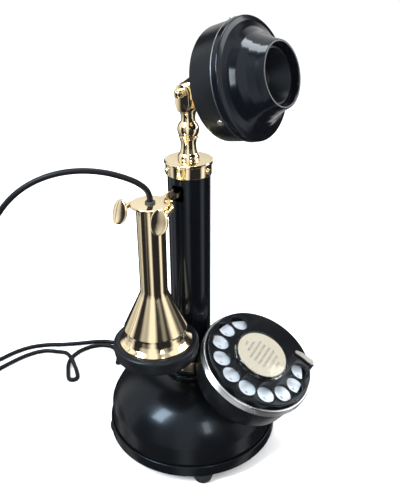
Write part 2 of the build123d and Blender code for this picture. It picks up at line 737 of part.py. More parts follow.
bush_radius = 5.5
centre_distance = gear_module * (gear_teeth + pinion_teeth) / 2 + fit
governor_place = Rot(0, 0, governor_angle) * Pos(centre_distance, 0, 0)
drum_radius = 9.5
drum_wall = 0.9
drum_high = -26.0
drum_low = -31.5
bush_low = plate_low - 6.0
plate_radius = rim_radius - housing_wall - 0.8
mechanism = rod(plate_radius, plate_low, ledge_low)
mechanism += rod(bush_radius, bush_low, plate_low)
mechanism -= rod(spindle_radius + fit, bush_low - 1, 0)
mechanism += governor_place * rod(3.5, plate_low - 2, plate_low)
mechanism -= governor_place * rod(governor_radius + fit, plate_low - 3, ledge_low - 0.6)
drum = ring(drum_radius, drum_radius - drum_wall, drum_low, drum_high)
drum += ring(drum_radius, governor_radius + fit, drum_low - 1.0, drum_low)
for angle in (110, 250):
    drum += Rot(0, 0, angle) * Pos(drum_radius - 0.6, 0, 0) * rod(1.3, drum_low - 1, plate_low)
drum -= rod(drum_radius - drum_wall, drum_low, drum_high + 0.5)
mechanism += governor_place * drum
for place in plate_screw_places:
    mechanism -= place * rod(0.8 + fit, plate_low - 1, ledge_low + 1)
save("mechanism_plate", dial_place * mechanism)

barrel = ring(14.0, bush_radius + close_fit, bush_low, plate_low)
save("spring_barrel", dial_place * barrel)

pedestal = label_radius - 1.2
hub_low = -plate_depth + gap
wheel = turned((0, hub_low), (7.0, hub_low), (7.0, -wheel_thickness, 0.5),
               (wheel_radius, -wheel_thickness, 0.6), (wheel_radius, 0, 0.8), (pedestal, 0),
               (pedestal, label_height - 1.2), (0, label_height - 1.2))
wheel -= rod(spindle_radius + fit, hub_low - 1, 0)
for i in range(hole_count):
    hole = Rot(0, 0, first_hole + hole_step * i) * Pos(hole_circle, 0, 0)
    wheel -= hole * rod(hole_radius, -10, 10)
rims = wheel.edges().filter_by(GeomType.CIRCLE).filter_by(
    lambda edge: abs(edge.radius - hole_radius) < 0.01)
wheel = fillet(rims.group_by(Axis.Z)[-1], 0.5)
save("finger_wheel", dial_place * wheel)

card_low = label_height - 1.2
card_radius = pedestal - 0.3
save("label_card", dial_place * rod(card_radius, card_low, card_low + 0.4))
cover = turned((pedestal + fit, 0), (label_radius, 0), (label_radius, label_height, 0.8),
               (0, label_height), (0, label_height - 0.7), (pedestal + fit, label_height - 0.7))
save("label_cover", dial_place * cover)

gear_high = bush_low - 0.5
gear_low = gear_high - gear_thickness
spindle = rod(spindle_radius, gear_low - 2, 0)
save("wheel_spindle", dial_place * spindle)


def toothed(teeth, thickness, bore, turn=0.0):
    """A spur gear on Z with flat-flanked teeth; turn is in degrees."""
    pitch = gear_module * teeth / 2
    tip = pitch + gear_module * 0.9
    root = pitch - gear_module * 1.2
    half_pitch = 360 / teeth / 4
    points = []
    for i in range(teeth):
        middle = turn + 360 / teeth * i
        for radius, share in ((root, -1.45), (tip, -0.42), (tip, 0.42), (root, 1.45)):
            angle = math.radians(middle + half_pitch * share)
            points.append((radius * math.cos(angle), radius * math.sin(angle)))
    blank = extrude(make_face(Polyline(*points, close=True)), thickness)
    return blank - rod(bore, -1, thickness + 1)


gear = toothed(gear_teeth, gear_thickness, spindle_radius + fit, turn=governor_angle)
for place in around(11.5, 5):
    gear -= place * rod(3.6, -1, gear_thickness + 1)
save("main_gear", dial_place * Pos(0, 0, gear_low) * gear)

pinion_turn = 180 + 180 / pinion_teeth
pinion = toothed(pinion_teeth, gear_thickness, governor_radius - 0.5, turn=pinion_turn)
governor = rod(governor_radius, drum_low - 0.6, ledge_low - 0.9)
governor += Pos(0, 0, gear_low) * pinion
governor = dial_place * Rot(0, 0, governor_angle) * Pos(centre_distance, 0, 0) * governor
save("governor_shaft", governor)

cam_high = gear_low - 1.0
cam_low = cam_high - 1.6
cam_profile = Circle(3.2) + SlotOverall(10.0, 4.0)
cam = Pos(0, 0, cam_low) * extrude(cam_profile, 1.6) - rod(governor_radius + fit, cam_low - 1, 0)
save("pulse_cam", dial_place * governor_place * cam)

weight_low = drum_low + 0.6
weight_high = drum_high - 0.4
weights = []
for side in (0, 180):
    arc_ring = ring(drum_radius - drum_wall - 0.5, 5.0, weight_low, weight_high)
    sector = arc_ring & block(2.0, 20, -5.2, 5.2, weight_low, weight_high)
    link = block(governor_radius + fit, 5.6, -0.8, 0.8, weight_low, weight_high)
    weights.append(dial_place * governor_place * Rot(0, 0, side) * (sector + link))
save("flyweights", *weights)

leaf_y = 5.4
leaf_length = 15.0
leaf_thickness = 0.4
block_x = 9.0
leaf_block = block(block_x, block_x + 6, -8.6, -4.2, cam_low - 0.5, plate_low)
leaves = [block(block_x - leaf_length * 0.7, block_x + 1, -leaf_y - leaf_thickness, -leaf_y,
                cam_low, cam_high),
          block(block_x - leaf_length * 0.6, block_x + 1, -leaf_y - 2.0 - leaf_thickness,
                -leaf_y - 2.0, cam_low, cam_high)]
contact_place = dial_place * governor_place * Rot(0, 0, 90)
save("pulse_contacts", contact_place * (leaf_block + leaves[0] + leaves[1]))

bracket_plate = 2.5
tongue_half = ear_inner - close_fit
bracket_low = band_low + 0.6
tongue_points = [(-band_radius - 1.6, bracket_low), (-band_radius - 1.6, band_high - 0.5),
                 (-27.0, 72.6), (-44.0, 64.2), (-44.0, 59.5), (-29.0, bracket_low)]
tongue_face = make_face(Polyline(*[(0, y, z) for y, z in tongue_points], close=True))
tongue = extrude(tongue_face, tongue_half, both=True, dir=(1, 0, 0))
tongue -= clamp_place * across_x(rod(clamp_screw_radius + fit, -20, 20))
pad = block(-9, 9, 0, 19.0, rear - bracket_plate, rear)
above_rear = dial_place * block(-60, 60, -60, 60, rear - bracket_plate / 2, 60)
bracket = tongue - above_rear + dial_place * pad
for place in bracket_screw_places:
    bracket -= dial_place * place * rod(bracket_screw_radius + fit, rear - 9, rear + 1)
save("dial_bracket", bracket)

bracket_screw = screw(bracket_screw_radius, bracket_plate + housing_wall + 1, 2.6, 1.6)
plate_screw = screw(0.8, 3.0, 1.5, 0.9)
dial_screws = [dial_place * place * Pos(0, 0, rear - bracket_plate) * upside_down * bracket_screw
               for place in bracket_screw_places]
dial_screws += [dial_place * place * Pos(0, 0, plate_low) * upside_down * plate_screw
                for place in plate_screw_places]
stop_screw = screw(small_screw_radius, 4.0, 2.0, 1.1)
stop_head = stop_leg[1] - stop_wall
dial_screws.append(dial_place * stop_screw_place * Pos(stop_head, 0, 0) * outwards * stop_screw)
save("dial_screws", *dial_screws)

# ---------------------------------------------------------------- free cords


def smooth_path(points):
    """Straight runs joined by tangent arcs, each as large as its two runs allow."""
    corners = [Vector(*point) for point in points]
    radii = []
    for before, corner, after in zip(corners, corners[1:], corners[2:]):
        first, second = corner - before, after - corner
        turn = math.radians(first.get_angle(second))
        radii.append(0.45 * min(first.length, second.length) / math.tan(turn / 2))
    return FilletPolyline(*corners, radius=radii), radii


def cord_tube(name, points):
    path, radii = smooth_path(points)
    start = Plane(origin=path @ 0, z_dir=path % 0)
    tube = sweep(start * Circle(cord_radius), path=path)
    ideal = math.pi * cord_radius ** 2 * path.length
    print(name, "length", round(path.length, 1), "volume ratio", round(tube.volume / ideal, 5))
    print("  radii", [round(radius, 1) for radius in radii])
    return tube


receiver_start = (receiver_place * Pos(0, 0, flange_high + 1.6)).position
gland_ends = [(place * Pos(0, 0, gland_reach)).position for place in gland_places]
gland_leads = [tuple((place * Pos(0, 0, gland_reach + 9)).position) for place in gland_places]

receiver_route = [
    tuple(receiver_start), (receiver_start.X, receiver_start.Y, 223.2),
    (-49.4, 1.2, 229.6), (-56.0, 9.6, 234.2),
    (-63.6, 19.2, 237.4), (-72.4, 30.4, 238.4), (-81.4, 42.0, 236.4), (-89.8, 52.8, 231.4),
    (-97.4, 62.6, 223.6), (-104.2, 71.2, 212.4), (-110.2, 78.8, 197.0), (-115.6, 85.4, 178.0),
    (-120.6, 91.2, 156.0), (-125.8, 97.0, 131.0), (-131.0, 103.4, 104.0), (-136.2, 110.2, 77.0),
    (-141.4, 118.0, 51.0), (-146.2, 127.6, 28.0), (-149.8, 139.4, 11.0), (-151.4, 153.0, 2.6),
    (-149.6, 169.0, cord_floor), (-142.0, 185.4, cord_floor), (-129.4, 198.8, cord_floor),
    (-113.0, 208.0, cord_floor), (-94.0, 211.6, cord_floor), (-75.4, 210.2, cord_floor),
    (-58.0, 205.0, cord_floor), (-42.0, 200.4, cord_floor), (-27.0, 198.8, cord_floor),
    (-12.0, 193.6, cord_floor), (0.6, 183.6, cord_floor), (10.6, 170.4, cord_floor),
    (22.0, 158.4, cord_floor), (33.6, 148.0, cord_floor), (42.6, 136.4, cord_floor),
    (44.4, 122.6, cord_floor), (39.4, 109.6, 3.4), (32.6, 99.4, 9.0), (26.0, 90.0, 17.0),
    gland_leads[0], tuple(gland_ends[0])]
line_route = [
    tuple(gland_ends[1]), gland_leads[1], (8.2, 92.8, 15.4), (16.4, 101.6, 7.4),
    (26.0, 109.6, 2.4), (34.6, 118.4, cord_floor), (37.6, 129.2, cord_floor),
    (33.4, 139.2, cord_floor), (24.0, 146.0, cord_floor), (12.6, 149.4, cord_floor),
    (1.0, 147.6, cord_floor), (-8.6, 142.2, cord_floor), (-17.0, 133.0, cord_floor),
    (-24.9, 124.0, cord_floor), (-18.1, 118.4, cord_floor), (-11.2, 127.4, 2.2),
    (-7.8, 134.2, 5.4), (-5.0, 140.8, 8.2), (-2.2, 149.8, 8.2), (-0.8, 158.4, 4.6),
    (-1.4, 167.4, cord_floor), (-5.6, 175.8, cord_floor), (-13.8, 182.0, cord_floor),
    (-25.6, 186.2, cord_floor), (-39.6, 188.2, cord_floor), (-54.0, 189.4, cord_floor),
    (-69.0, 189.2, cord_floor), (-84.0, 190.6, cord_floor), (-98.0, 190.0, cord_floor)]

coil_centre = (-110.0, 165.0)
turn_pitch = cord_diameter + 0.1
coil_width = turn_pitch * coil_columns
coil_height = turn_pitch * coil_layers
coil_outer = coil_mean_radius + coil_width / 2
coil_inner = coil_mean_radius - coil_width / 2
coil_low = 0.6
coil_high = coil_low + coil_height
coil = turned((coil_inner, coil_low, 1.2), (coil_outer, coil_low, 1.2),
              (coil_outer, coil_high, 1.8), (coil_inner, coil_high, 1.8))
save("line_coil", Pos(*coil_centre) * coil)

tie_width = 5.0
tie = block(coil_inner - 1.3, coil_outer + 1.0, -tie_width / 2, tie_width / 2,
            0.0, coil_high + 1.0)
tie -= block(coil_inner - 0.3, coil_outer + fit, -tie_width, tie_width,
             coil_low - fit, coil_high + fit)
save("coil_tie", Pos(*coil_centre) * Rot(0, 0, 20) * tie)

plug_centre = (-131.6, 112.0)
plug_turn = 8.0
plug_half_length = 8.0
plug_half_width = 4.9
plug_height = 6.6
plug = block(-plug_half_width, plug_half_width, -plug_half_length, plug_half_length, 0.1,
             plug_height)
plug = fillet(plug.edges().filter_by(Axis.Z), 0.8)
plug -= block(-3.6, 3.6, -plug_half_length - 1, -plug_half_length + 5.0, plug_height - 1.6,
              plug_height + 1)
latch = block(-1.6, 1.6, -plug_half_length + 0.8, plug_half_length - 3.0, plug_height,
              plug_height + 1.2)
latch += block(-1.6, 1.6, -plug_half_length + 5.0, -plug_half_length + 6.4, plug_height - 1,
               plug_height + 1.2)
plug_place = Pos(*plug_centre) * Rot(0, 0, plug_turn)
save("line_plug", plug_place * (plug + latch))

tail_end = (plug_place * Pos(0, plug_half_length, plug_height / 2 + 0.05)).position
tail_start = (coil_centre[0] - coil_outer + cord_radius, coil_centre[1] - 2.0,
              coil_high - cord_radius)
tail_lead = (plug_place * Pos(0, plug_half_length + 9, plug_height / 2 + 0.05)).position
tail_route = [tail_start, (-134.8, 153.0, 12.4), (-134.7, 141.0, 7.8), tuple(tail_lead),
              tuple(tail_end)]

save("receiver_cord", cord_tube("receiver_cord", receiver_route))
save("line_cord", cord_tube("line_cord", line_route), cord_tube("line_tail", tail_route))
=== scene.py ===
# %% [markdown]
# # A candlestick telephone with a rotary dial
# The solid parts of the telephone come from CAD as a fixed frame: every node is already in its
# place, in metres, with +Z up and the dial facing -Y. This lesson adds what CAD leaves out: the
# camera and light, the cords, the fine shapes and the finishes.

# %% Load the frame
import json
import math

import bmesh
import bpy
from mathutils import Matrix, Vector


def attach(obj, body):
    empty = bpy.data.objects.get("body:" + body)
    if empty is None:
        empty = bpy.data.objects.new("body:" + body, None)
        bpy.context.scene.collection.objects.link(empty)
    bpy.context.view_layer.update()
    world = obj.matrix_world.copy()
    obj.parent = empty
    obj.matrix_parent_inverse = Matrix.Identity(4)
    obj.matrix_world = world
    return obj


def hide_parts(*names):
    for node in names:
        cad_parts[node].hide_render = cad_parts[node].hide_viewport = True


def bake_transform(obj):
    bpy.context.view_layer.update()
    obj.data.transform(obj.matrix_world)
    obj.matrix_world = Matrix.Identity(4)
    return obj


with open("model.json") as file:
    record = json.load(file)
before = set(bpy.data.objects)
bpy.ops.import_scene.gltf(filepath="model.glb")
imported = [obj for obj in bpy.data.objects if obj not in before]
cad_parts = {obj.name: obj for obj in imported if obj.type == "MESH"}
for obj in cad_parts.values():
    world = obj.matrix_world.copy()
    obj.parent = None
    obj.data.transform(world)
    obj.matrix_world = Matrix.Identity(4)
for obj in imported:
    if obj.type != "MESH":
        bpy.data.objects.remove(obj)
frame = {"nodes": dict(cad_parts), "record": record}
bpy.context.view_layer.update()
nodes = frame["nodes"]
MM = 0.001

# %% [markdown]
# ## The camera
# A product picture of a tall thing is taken from a little above, so that the dial can be read.
# The camera is given by three directions, right, up and back, which are the columns of its
# rotation. That is more exact than typing three angles.

# %% Camera
right = Vector((0.60153, -0.79883, -0.00642))
down = Vector((-0.36625, -0.26863, -0.89090))
forward = Vector((0.70995, 0.53825, -0.45416))
turn = Matrix((right, -down, -forward)).transposed().to_4x4()
camera = bpy.data.objects.new("camera", bpy.data.cameras.new("camera"))
camera.matrix_world = Matrix.Translation(Vector((-328.3, -257.8, 375.4)) * MM) @ turn
camera.data.sensor_fit = "VERTICAL"
camera.data.sensor_height = 36
camera.data.lens = 46.56
camera.data.clip_start = 0.01
bpy.context.scene.collection.objects.link(camera)
bpy.context.scene.camera = camera
print("camera at", tuple(round(v, 3) for v in camera.location))

# %% [markdown]
# ## The cords
# Two cords hang and lie on the desk. A real cord is one smooth line, so each one is a NURBS
# curve through a few given points, with a round bevel for its jacket. The order has to
# be set after the points, or the line falls back to straight runs.

# %% A helper for cords
CORD_RADIUS = 1.9
CORD_FLOOR = 1.95


def cord_curve(name, points, bevel=CORD_RADIUS):
    """A smooth cord along points in mm."""
    curve = bpy.data.curves.new(name, "CURVE")
    curve.dimensions = "3D"
    line = curve.splines.new("NURBS")
    line.points.add(len(points) - 1)
    for place, point in zip(line.points, points):
        place.co = (point[0] * MM, point[1] * MM, point[2] * MM, 1)
    line.order_u = 3
    line.use_endpoint_u = True
    line.resolution_u = 8
    curve.bevel_depth = bevel * MM
    curve.bevel_resolution = 5
    curve.use_fill_caps = True
    cord = bpy.data.objects.new(name, curve)
    bpy.context.scene.collection.objects.link(cord)
    return cord


# %% [markdown]
# The receiver's cord leaves its top, arches over to the left, comes down outside the view, and
# runs back over the desk to the base. It is turned into a mesh here.

# %% Receiver cord
receiver_route = [
    (-45.33, -3.89, 217.6), (-45.33, -3.89, 223.2), (-49.4, 1.2, 229.6), (-56.0, 9.6, 234.2),
    (-63.6, 19.2, 237.4), (-72.4, 30.4, 238.4), (-81.4, 42.0, 236.4), (-89.8, 52.8, 231.4),
    (-97.4, 62.6, 223.6), (-104.2, 71.2, 212.4), (-110.2, 78.8, 197.0), (-115.6, 85.4, 178.0),
    (-120.6, 91.2, 156.0), (-125.8, 97.0, 131.0), (-131.0, 103.4, 104.0), (-136.2, 110.2, 77.0),
    (-141.4, 118.0, 51.0), (-146.2, 127.6, 28.0), (-149.8, 139.4, 11.0), (-151.4, 153.0, 2.6),
    (-149.6, 169.0, CORD_FLOOR), (-142.0, 185.4, CORD_FLOOR), (-129.4, 198.8, CORD_FLOOR),
    (-113.0, 208.0, CORD_FLOOR), (-94.0, 211.6, CORD_FLOOR), (-75.4, 210.2, CORD_FLOOR),
    (-58.0, 205.0, CORD_FLOOR), (-42.0, 200.4, CORD_FLOOR), (-27.0, 198.8, CORD_FLOOR),
    (-12.0, 193.6, CORD_FLOOR), (0.6, 183.6, CORD_FLOOR), (10.6, 170.4, CORD_FLOOR),
    (22.0, 158.4, CORD_FLOOR), (33.6, 148.0, CORD_FLOOR), (42.6, 136.4, CORD_FLOOR),
    (44.4, 122.6, CORD_FLOOR), (39.4, 109.6, 3.4), (32.6, 99.4, 9.0), (26.0, 90.0, 17.0),
    (19.98, 80.15, 24.0), (17.81, 71.42, 24.0)]


def line_of(points):
    """The points along a cord's own spline, in metres, and their total length."""
    guide = cord_curve("guide", points, bevel=0.0)
    bpy.context.view_layer.update()
    mesh = bpy.data.meshes.new_from_object(guide.evaluated_get(
        bpy.context.evaluated_depsgraph_get()))
    path = [vertex.co.copy() for vertex in mesh.vertices]
    bpy.data.objects.remove(guide)
    return path, sum((b - a).length for a, b in zip(path, path[1:]))


def as_mesh(piece):
    """A mesh object in place of a curve or text object."""
    bpy.context.view_layer.update()
    mesh = bpy.data.meshes.new_from_object(piece.evaluated_get(
        bpy.context.evaluated_depsgraph_get()))
    name = piece.name
    bpy.data.objects.remove(piece)
    made = bpy.data.objects.new(name, mesh)
    bpy.context.scene.collection.objects.link(made)
    return made


receiver_path, receiver_length = line_of(receiver_route)
receiver_cord = as_mesh(cord_curve("receiver_cord_jacket", receiver_route))
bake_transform(receiver_cord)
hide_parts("receiver_cord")
print("receiver cord", round(receiver_length, 3), "m")

# %% [markdown]
# The line cord is the same kind of cable. What the desk doesn't need is wound into a neat coil
# of three columns and four layers, held by a tie, with the wall plug lying beside it. The turns
# are more points of the same spline: the radius steps from column to column near the end of
# each turn, and the height steps up where a layer is full.

# %% Points of the line cord
line_route = [
    (2.57, 73.60, 24.0), (2.88, 82.59, 24.0), (8.2, 92.8, 15.4), (16.4, 101.6, 7.4),
    (26.0, 109.6, 2.4), (34.6, 118.4, CORD_FLOOR), (37.6, 129.2, CORD_FLOOR),
    (33.4, 139.2, CORD_FLOOR), (24.0, 146.0, CORD_FLOOR), (12.6, 149.4, CORD_FLOOR),
    (1.0, 147.6, CORD_FLOOR), (-8.6, 142.2, CORD_FLOOR), (-17.0, 133.0, CORD_FLOOR),
    (-24.9, 124.0, CORD_FLOOR), (-18.1, 118.4, CORD_FLOOR), (-11.2, 127.4, 2.2),
    (-7.8, 134.2, 5.4), (-5.0, 140.8, 8.2), (-2.2, 149.8, 8.2), (-0.8, 158.4, 4.6),
    (-1.4, 167.4, CORD_FLOOR), (-5.6, 175.8, CORD_FLOOR), (-13.8, 182.0, CORD_FLOOR),
    (-25.6, 186.2, CORD_FLOOR), (-39.6, 188.2, CORD_FLOOR), (-54.0, 189.4, CORD_FLOOR),
    (-69.0, 189.2, CORD_FLOOR), (-84.0, 190.6, CORD_FLOOR), (-98.0, 190.0, CORD_FLOOR)]
coil_x, coil_y = -110.0, 165.0
columns = [24.9, 21.0, 17.1]
layer_heights = [2.55, 6.45, 10.35, 14.25]
slots = []
for layer, height in enumerate(layer_heights):
    order = columns if layer % 2 == 0 else columns[::-1]
    slots += [(radius, height) for radius in order]
turns = 11.25
per_turn = 16
coil_points = []
for i in range(int(turns * per_turn) + 1):
    share = i / (turns * per_turn) * len(slots)
    slot = min(int(share), len(slots) - 1)
    following = slots[min(slot + 1, len(slots) - 1)]
    step = max(0.0, (share - slot - 0.7) / 0.3)
    step = min(1.0, step) ** 2 * (3 - 2 * min(1.0, step))
    radius = (slots[slot][0] + (following[0] - slots[slot][0]) * step) / 0.981
    height = slots[slot][1] + (following[1] - slots[slot][1]) * step
    angle = math.radians(90 + 360 * i / per_turn)
    coil_points.append((coil_x + radius * math.cos(angle), coil_y + radius * math.sin(angle),
                        height))
tail_route = [(-134.8, 153.0, 12.4), (-134.7, 141.0, 7.8), (-133.97, 128.83, 3.35),
              (-132.71, 119.92, 3.35)]
print("line cord points", len(line_route) + len(coil_points) + len(tail_route))

# %% Line cord
line_points = line_route + coil_points + tail_route
line_path, line_length = line_of(line_points)
line_cord = as_mesh(cord_curve("line_cord_jacket", line_points))
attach(line_cord, "base")
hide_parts("line_cord", "line_coil")
print("line cord", round(line_length, 3), "m")

# %% [markdown]
# ## Floor and light
# The telephone stands on a plain pale floor. Polished brass shows whatever is around it, so the
# light has to be shaped: a strong soft box at the upper left, weaker ones on the right, in
# front and above, and a surround of soft pale and dark bands that only reflections see.

# %% Floor
shape = bmesh.new()
bmesh.ops.create_grid(shape, x_segments=1, y_segments=1, size=6)
bmesh.ops.translate(shape, verts=shape.verts, vec=(0, 0, -0.0002))
floor_mesh = bpy.data.meshes.new("floor")
shape.to_mesh(floor_mesh)
shape.free()
floor = bpy.data.objects.new("floor", floor_mesh)
bpy.context.scene.collection.objects.link(floor)
floor.visible_glossy = False
paper_white = bpy.data.materials.new("backdrop_paper")
paper_white.use_nodes = True
paper_shader = paper_white.node_tree.nodes["Principled BSDF"]
paper_shader.inputs["Base Color"].default_value = (0.95, 0.95, 0.95, 1)
paper_shader.inputs["Roughness"].default_value = 0.95
floor_mesh.materials.append(paper_white)
print("floor", tuple(round(v, 1) for v in floor.dimensions))

# %% Surround
world = bpy.data.worlds.new("studio")
bpy.context.scene.world = world
world.use_nodes = True
web = world.node_tree
web.nodes.clear()


def world_node(kind, **settings):
    made = web.nodes.new(kind)
    for key, value in settings.items():
        setattr(made, key, value)
    return made


def world_math(operation, first, second=None):
    made = world_node("ShaderNodeMath", operation=operation)
    for socket, value in zip(made.inputs, (first, second)):
        if isinstance(value, (int, float)):
            socket.default_value = value
        elif value is not None:
            web.links.new(value, socket)
    return made.outputs[0]


look = world_node("ShaderNodeTexCoord")
parts = world_node("ShaderNodeSeparateXYZ")
web.links.new(look.outputs["Generated"], parts.inputs[0])
bearing = world_math("ARCTAN2", parts.outputs["Y"], parts.outputs["X"])
bands = world_math("SINE", world_math("MULTIPLY", bearing, 4.0))
finer = world_math("SINE", world_math("MULTIPLY", bearing, 9.0))
mixed = world_math("ADD", bands, world_math("MULTIPLY", finer, 0.6))
lifted = world_math("ADD", mixed, world_math("MULTIPLY", parts.outputs["Z"], 1.1))
ramp = world_node("ShaderNodeValToRGB")
ramp.color_ramp.elements[0].position = 0.25
ramp.color_ramp.elements[0].color = (0.02, 0.02, 0.025, 1)
ramp.color_ramp.elements[1].position = 0.85
ramp.color_ramp.elements[1].color = (1.0, 0.99, 0.97, 1)
web.links.new(world_math("MULTIPLY_ADD", lifted, 0.35), ramp.inputs[0])
ramp_shift = ramp.inputs[0].links[0].from_node
ramp_shift.inputs[2].default_value = 0.45
seen = world_node("ShaderNodeBackground")
web.links.new(ramp.outputs[0], seen.inputs[0])
seen.inputs[1].default_value = 1.15
lit = world_node("ShaderNodeBackground")
lit.inputs[0].default_value = (0.95, 0.97, 1.0, 1)
lit.inputs[1].default_value = 1.12
rays = world_node("ShaderNodeLightPath")
choice = world_node("ShaderNodeMixShader")
web.links.new(rays.outputs["Is Glossy Ray"], choice.inputs[0])
web.links.new(lit.outputs[0], choice.inputs[1])
web.links.new(seen.outputs[0], choice.inputs[2])
output = world_node("ShaderNodeOutputWorld")
web.links.new(choice.outputs[0], output.inputs[0])
bpy.context.scene.view_settings.view_transform = "Standard"
print("surround nodes", len(web.nodes))


# %% Soft boxes
def soft_box(name, place, aim, width, height, power, tint=(1, 1, 1)):
    """A rectangular area light at place, turned towards aim."""
    light = bpy.data.lights.new(name, "AREA")
    light.shape = "RECTANGLE"
    light.size, light.size_y = width, height
    light.energy = power
    light.color = tint
    made = bpy.data.objects.new(name, light)
    made.location = place
    made.rotation_euler = (Vector(aim) - Vector(place)).to_track_quat("-Z", "Y").to_euler()
    bpy.context.scene.collection.objects.link(made)
    return made


centre = (0, 0, 0.15)
soft_box("window", (-0.75, 0.25, 0.85), centre, 0.28, 0.5, 16, (0.80, 0.91, 1.0))
soft_box("fill", (0.75, -0.7, 0.6), centre, 0.5, 0.7, 5, (1.0, 0.98, 0.95))
soft_box("front", (-0.55, -0.9, 0.75), centre, 0.18, 0.5, 4)
soft_box("top", (0.1, 0.1, 1.1), centre, 0.5, 0.3, 6)

# %% [markdown]
# ## Finishes
# Each finish is one Principled shader. Its roughness and its small dents come from noise on
# Object coordinates, which stay put when a piece moves. A number that is the same all over goes
# straight on the shader, so that it survives an export.


# %% A helper for finishes
def finish(name, colour, metallic=0.0, roughness=0.4, spread=0.08, grain=1.0, bump=0.0,
           tone=0.1, coat=0.0, specular=0.5, stretch=(1, 1, 1), alpha=1.0):
    """A material whose roughness, tone and surface vary a little, grain in mm."""
    material = bpy.data.materials.new(name)
    material.use_nodes = True
    tree = material.node_tree
    shader = tree.nodes["Principled BSDF"]
    shader.inputs["Metallic"].default_value = metallic
    shader.inputs["Coat Weight"].default_value = coat
    shader.inputs["Coat Roughness"].default_value = 0.06
    shader.inputs["Specular IOR Level"].default_value = specular
    shader.inputs["Alpha"].default_value = alpha
    place = tree.nodes.new("ShaderNodeTexCoord")
    mapping = tree.nodes.new("ShaderNodeMapping")
    mapping.inputs["Scale"].default_value = stretch
    tree.links.new(place.outputs["Object"], mapping.inputs[0])
    fine = tree.nodes.new("ShaderNodeTexNoise")
    fine.inputs["Scale"].default_value = 1000.0 / grain
    fine.inputs["Detail"].default_value = 4.0
    broad = tree.nodes.new("ShaderNodeTexNoise")
    broad.inputs["Scale"].default_value = 45.0
    broad.inputs["Detail"].default_value = 3.0
    for noise in (fine, broad):
        tree.links.new(mapping.outputs[0], noise.inputs["Vector"])
    rough = tree.nodes.new("ShaderNodeMapRange")
    rough.inputs["From Min"].default_value = 0.3
    rough.inputs["From Max"].default_value = 0.7
    rough.inputs["To Min"].default_value = max(0.02, roughness - spread)
    rough.inputs["To Max"].default_value = roughness + spread
    tree.links.new(broad.outputs["Fac"], rough.inputs["Value"])
    tree.links.new(rough.outputs[0], shader.inputs["Roughness"])
    tint = tree.nodes.new("ShaderNodeMix")
    tint.data_type = "RGBA"
    tint.inputs["A"].default_value = (*[c * (1 - tone) for c in colour], 1)
    tint.inputs["B"].default_value = (*[min(1, c * (1 + tone)) for c in colour], 1)
    tree.links.new(fine.outputs["Fac"], tint.inputs["Factor"])
    tree.links.new(tint.outputs["Result"], shader.inputs["Base Color"])
    if bump:
        dents = tree.nodes.new("ShaderNodeBump")
        dents.inputs["Strength"].default_value = 1.0
        dents.inputs["Distance"].default_value = bump * MM
        tree.links.new(fine.outputs["Fac"], dents.inputs["Height"])
        tree.links.new(dents.outputs[0], shader.inputs["Normal"])
    return material


# %% [markdown]
# Brass is the showpiece: hand-polished, pale gold, with a faint ripple left by the wheel. The
# black parts come in three kinds: sprayed enamel on the base, cup and dial, a glossier black on
# the column and horn, and a satin resin on the mouthpiece and ear cap.

# %% Finishes by material slot
finishes = {
    "polished_brass": finish("polished_brass", (0.96, 0.81, 0.54), metallic=1.0, roughness=0.09,
                             spread=0.04, grain=9.0, bump=0.03, tone=0.05),
    "black_enamel": finish("black_enamel", (0.0035, 0.0038, 0.0045), roughness=0.24, spread=0.03,
                           grain=1.6, bump=0.0015, coat=0.08, specular=0.2),
    "black_gloss": finish("pressed_resin", (0.003, 0.0034, 0.005), roughness=0.15, spread=0.03,
                          grain=4.0, bump=0.002, coat=0.15, specular=0.25),
    "black_satin": finish("satin_resin", (0.005, 0.005, 0.006), roughness=0.36, spread=0.05,
                          grain=1.2, bump=0.003, specular=0.25),
    "seam_metal": finish("seam_metal", (0.20, 0.21, 0.22), metallic=1.0, roughness=0.4),
    "bezel_metal": finish("spun_steel", (0.62, 0.63, 0.65), metallic=1.0, roughness=0.28,
                          grain=0.8, bump=0.004),
    "stop_steel": finish("stop_steel", (0.42, 0.41, 0.40), metallic=1.0, roughness=0.38,
                         grain=1.5, bump=0.01, tone=0.2),
    "plain_steel": finish("plain_steel", (0.50, 0.50, 0.51), metallic=1.0, roughness=0.35,
                          grain=2.0, bump=0.006),
    "iron": finish("cast_iron", (0.10, 0.10, 0.11), metallic=0.8, roughness=0.6, bump=0.05),
    "number_white": finish("number_enamel", (0.66, 0.72, 0.78), roughness=0.22, spread=0.05,
                           grain=14.0, tone=0.10, coat=0.6),
    "card_cream": finish("card_stock", (0.74, 0.69, 0.55), roughness=0.7, grain=1.4, tone=0.08,
                         bump=0.01),
    "clear_cover": finish("clear_cover", (1.0, 1.0, 1.0), roughness=0.06, spread=0.02, tone=0.0,
                          grain=12.0),
    "feet_rubber": finish("feet_rubber", (0.012, 0.012, 0.013), roughness=0.6, bump=0.02),
    "cord_black": finish("cord_jacket", (0.004, 0.004, 0.005), roughness=0.42, spread=0.06,
                         grain=2.0, bump=0.006, specular=0.15),
    "plug_plastic": finish("plug_plastic", (0.03, 0.03, 0.033), roughness=0.25, grain=3.0),
    "tie_black": finish("tie_plastic", (0.012, 0.012, 0.012), roughness=0.55, bump=0.01),
    "moulded_black": finish("moulded_black", (0.016, 0.016, 0.017), roughness=0.5, bump=0.01),
    "board_green": finish("board_mask", (0.02, 0.12, 0.05), roughness=0.35),
    "terminal_grey": finish("terminal_block", (0.25, 0.27, 0.28), roughness=0.5),
    "nickel": finish("nickel_leaf", (0.66, 0.65, 0.62), metallic=1.0, roughness=0.25),
}
for name in ("black_enamel", "black_gloss", "black_satin"):
    black = finishes[name].node_tree.nodes["Principled BSDF"]
    black.inputs["Specular Tint"].default_value = (0.70, 0.86, 1.0, 1)
clear = finishes["clear_cover"].node_tree.nodes["Principled BSDF"]
clear.inputs["Transmission Weight"].default_value = 1.0
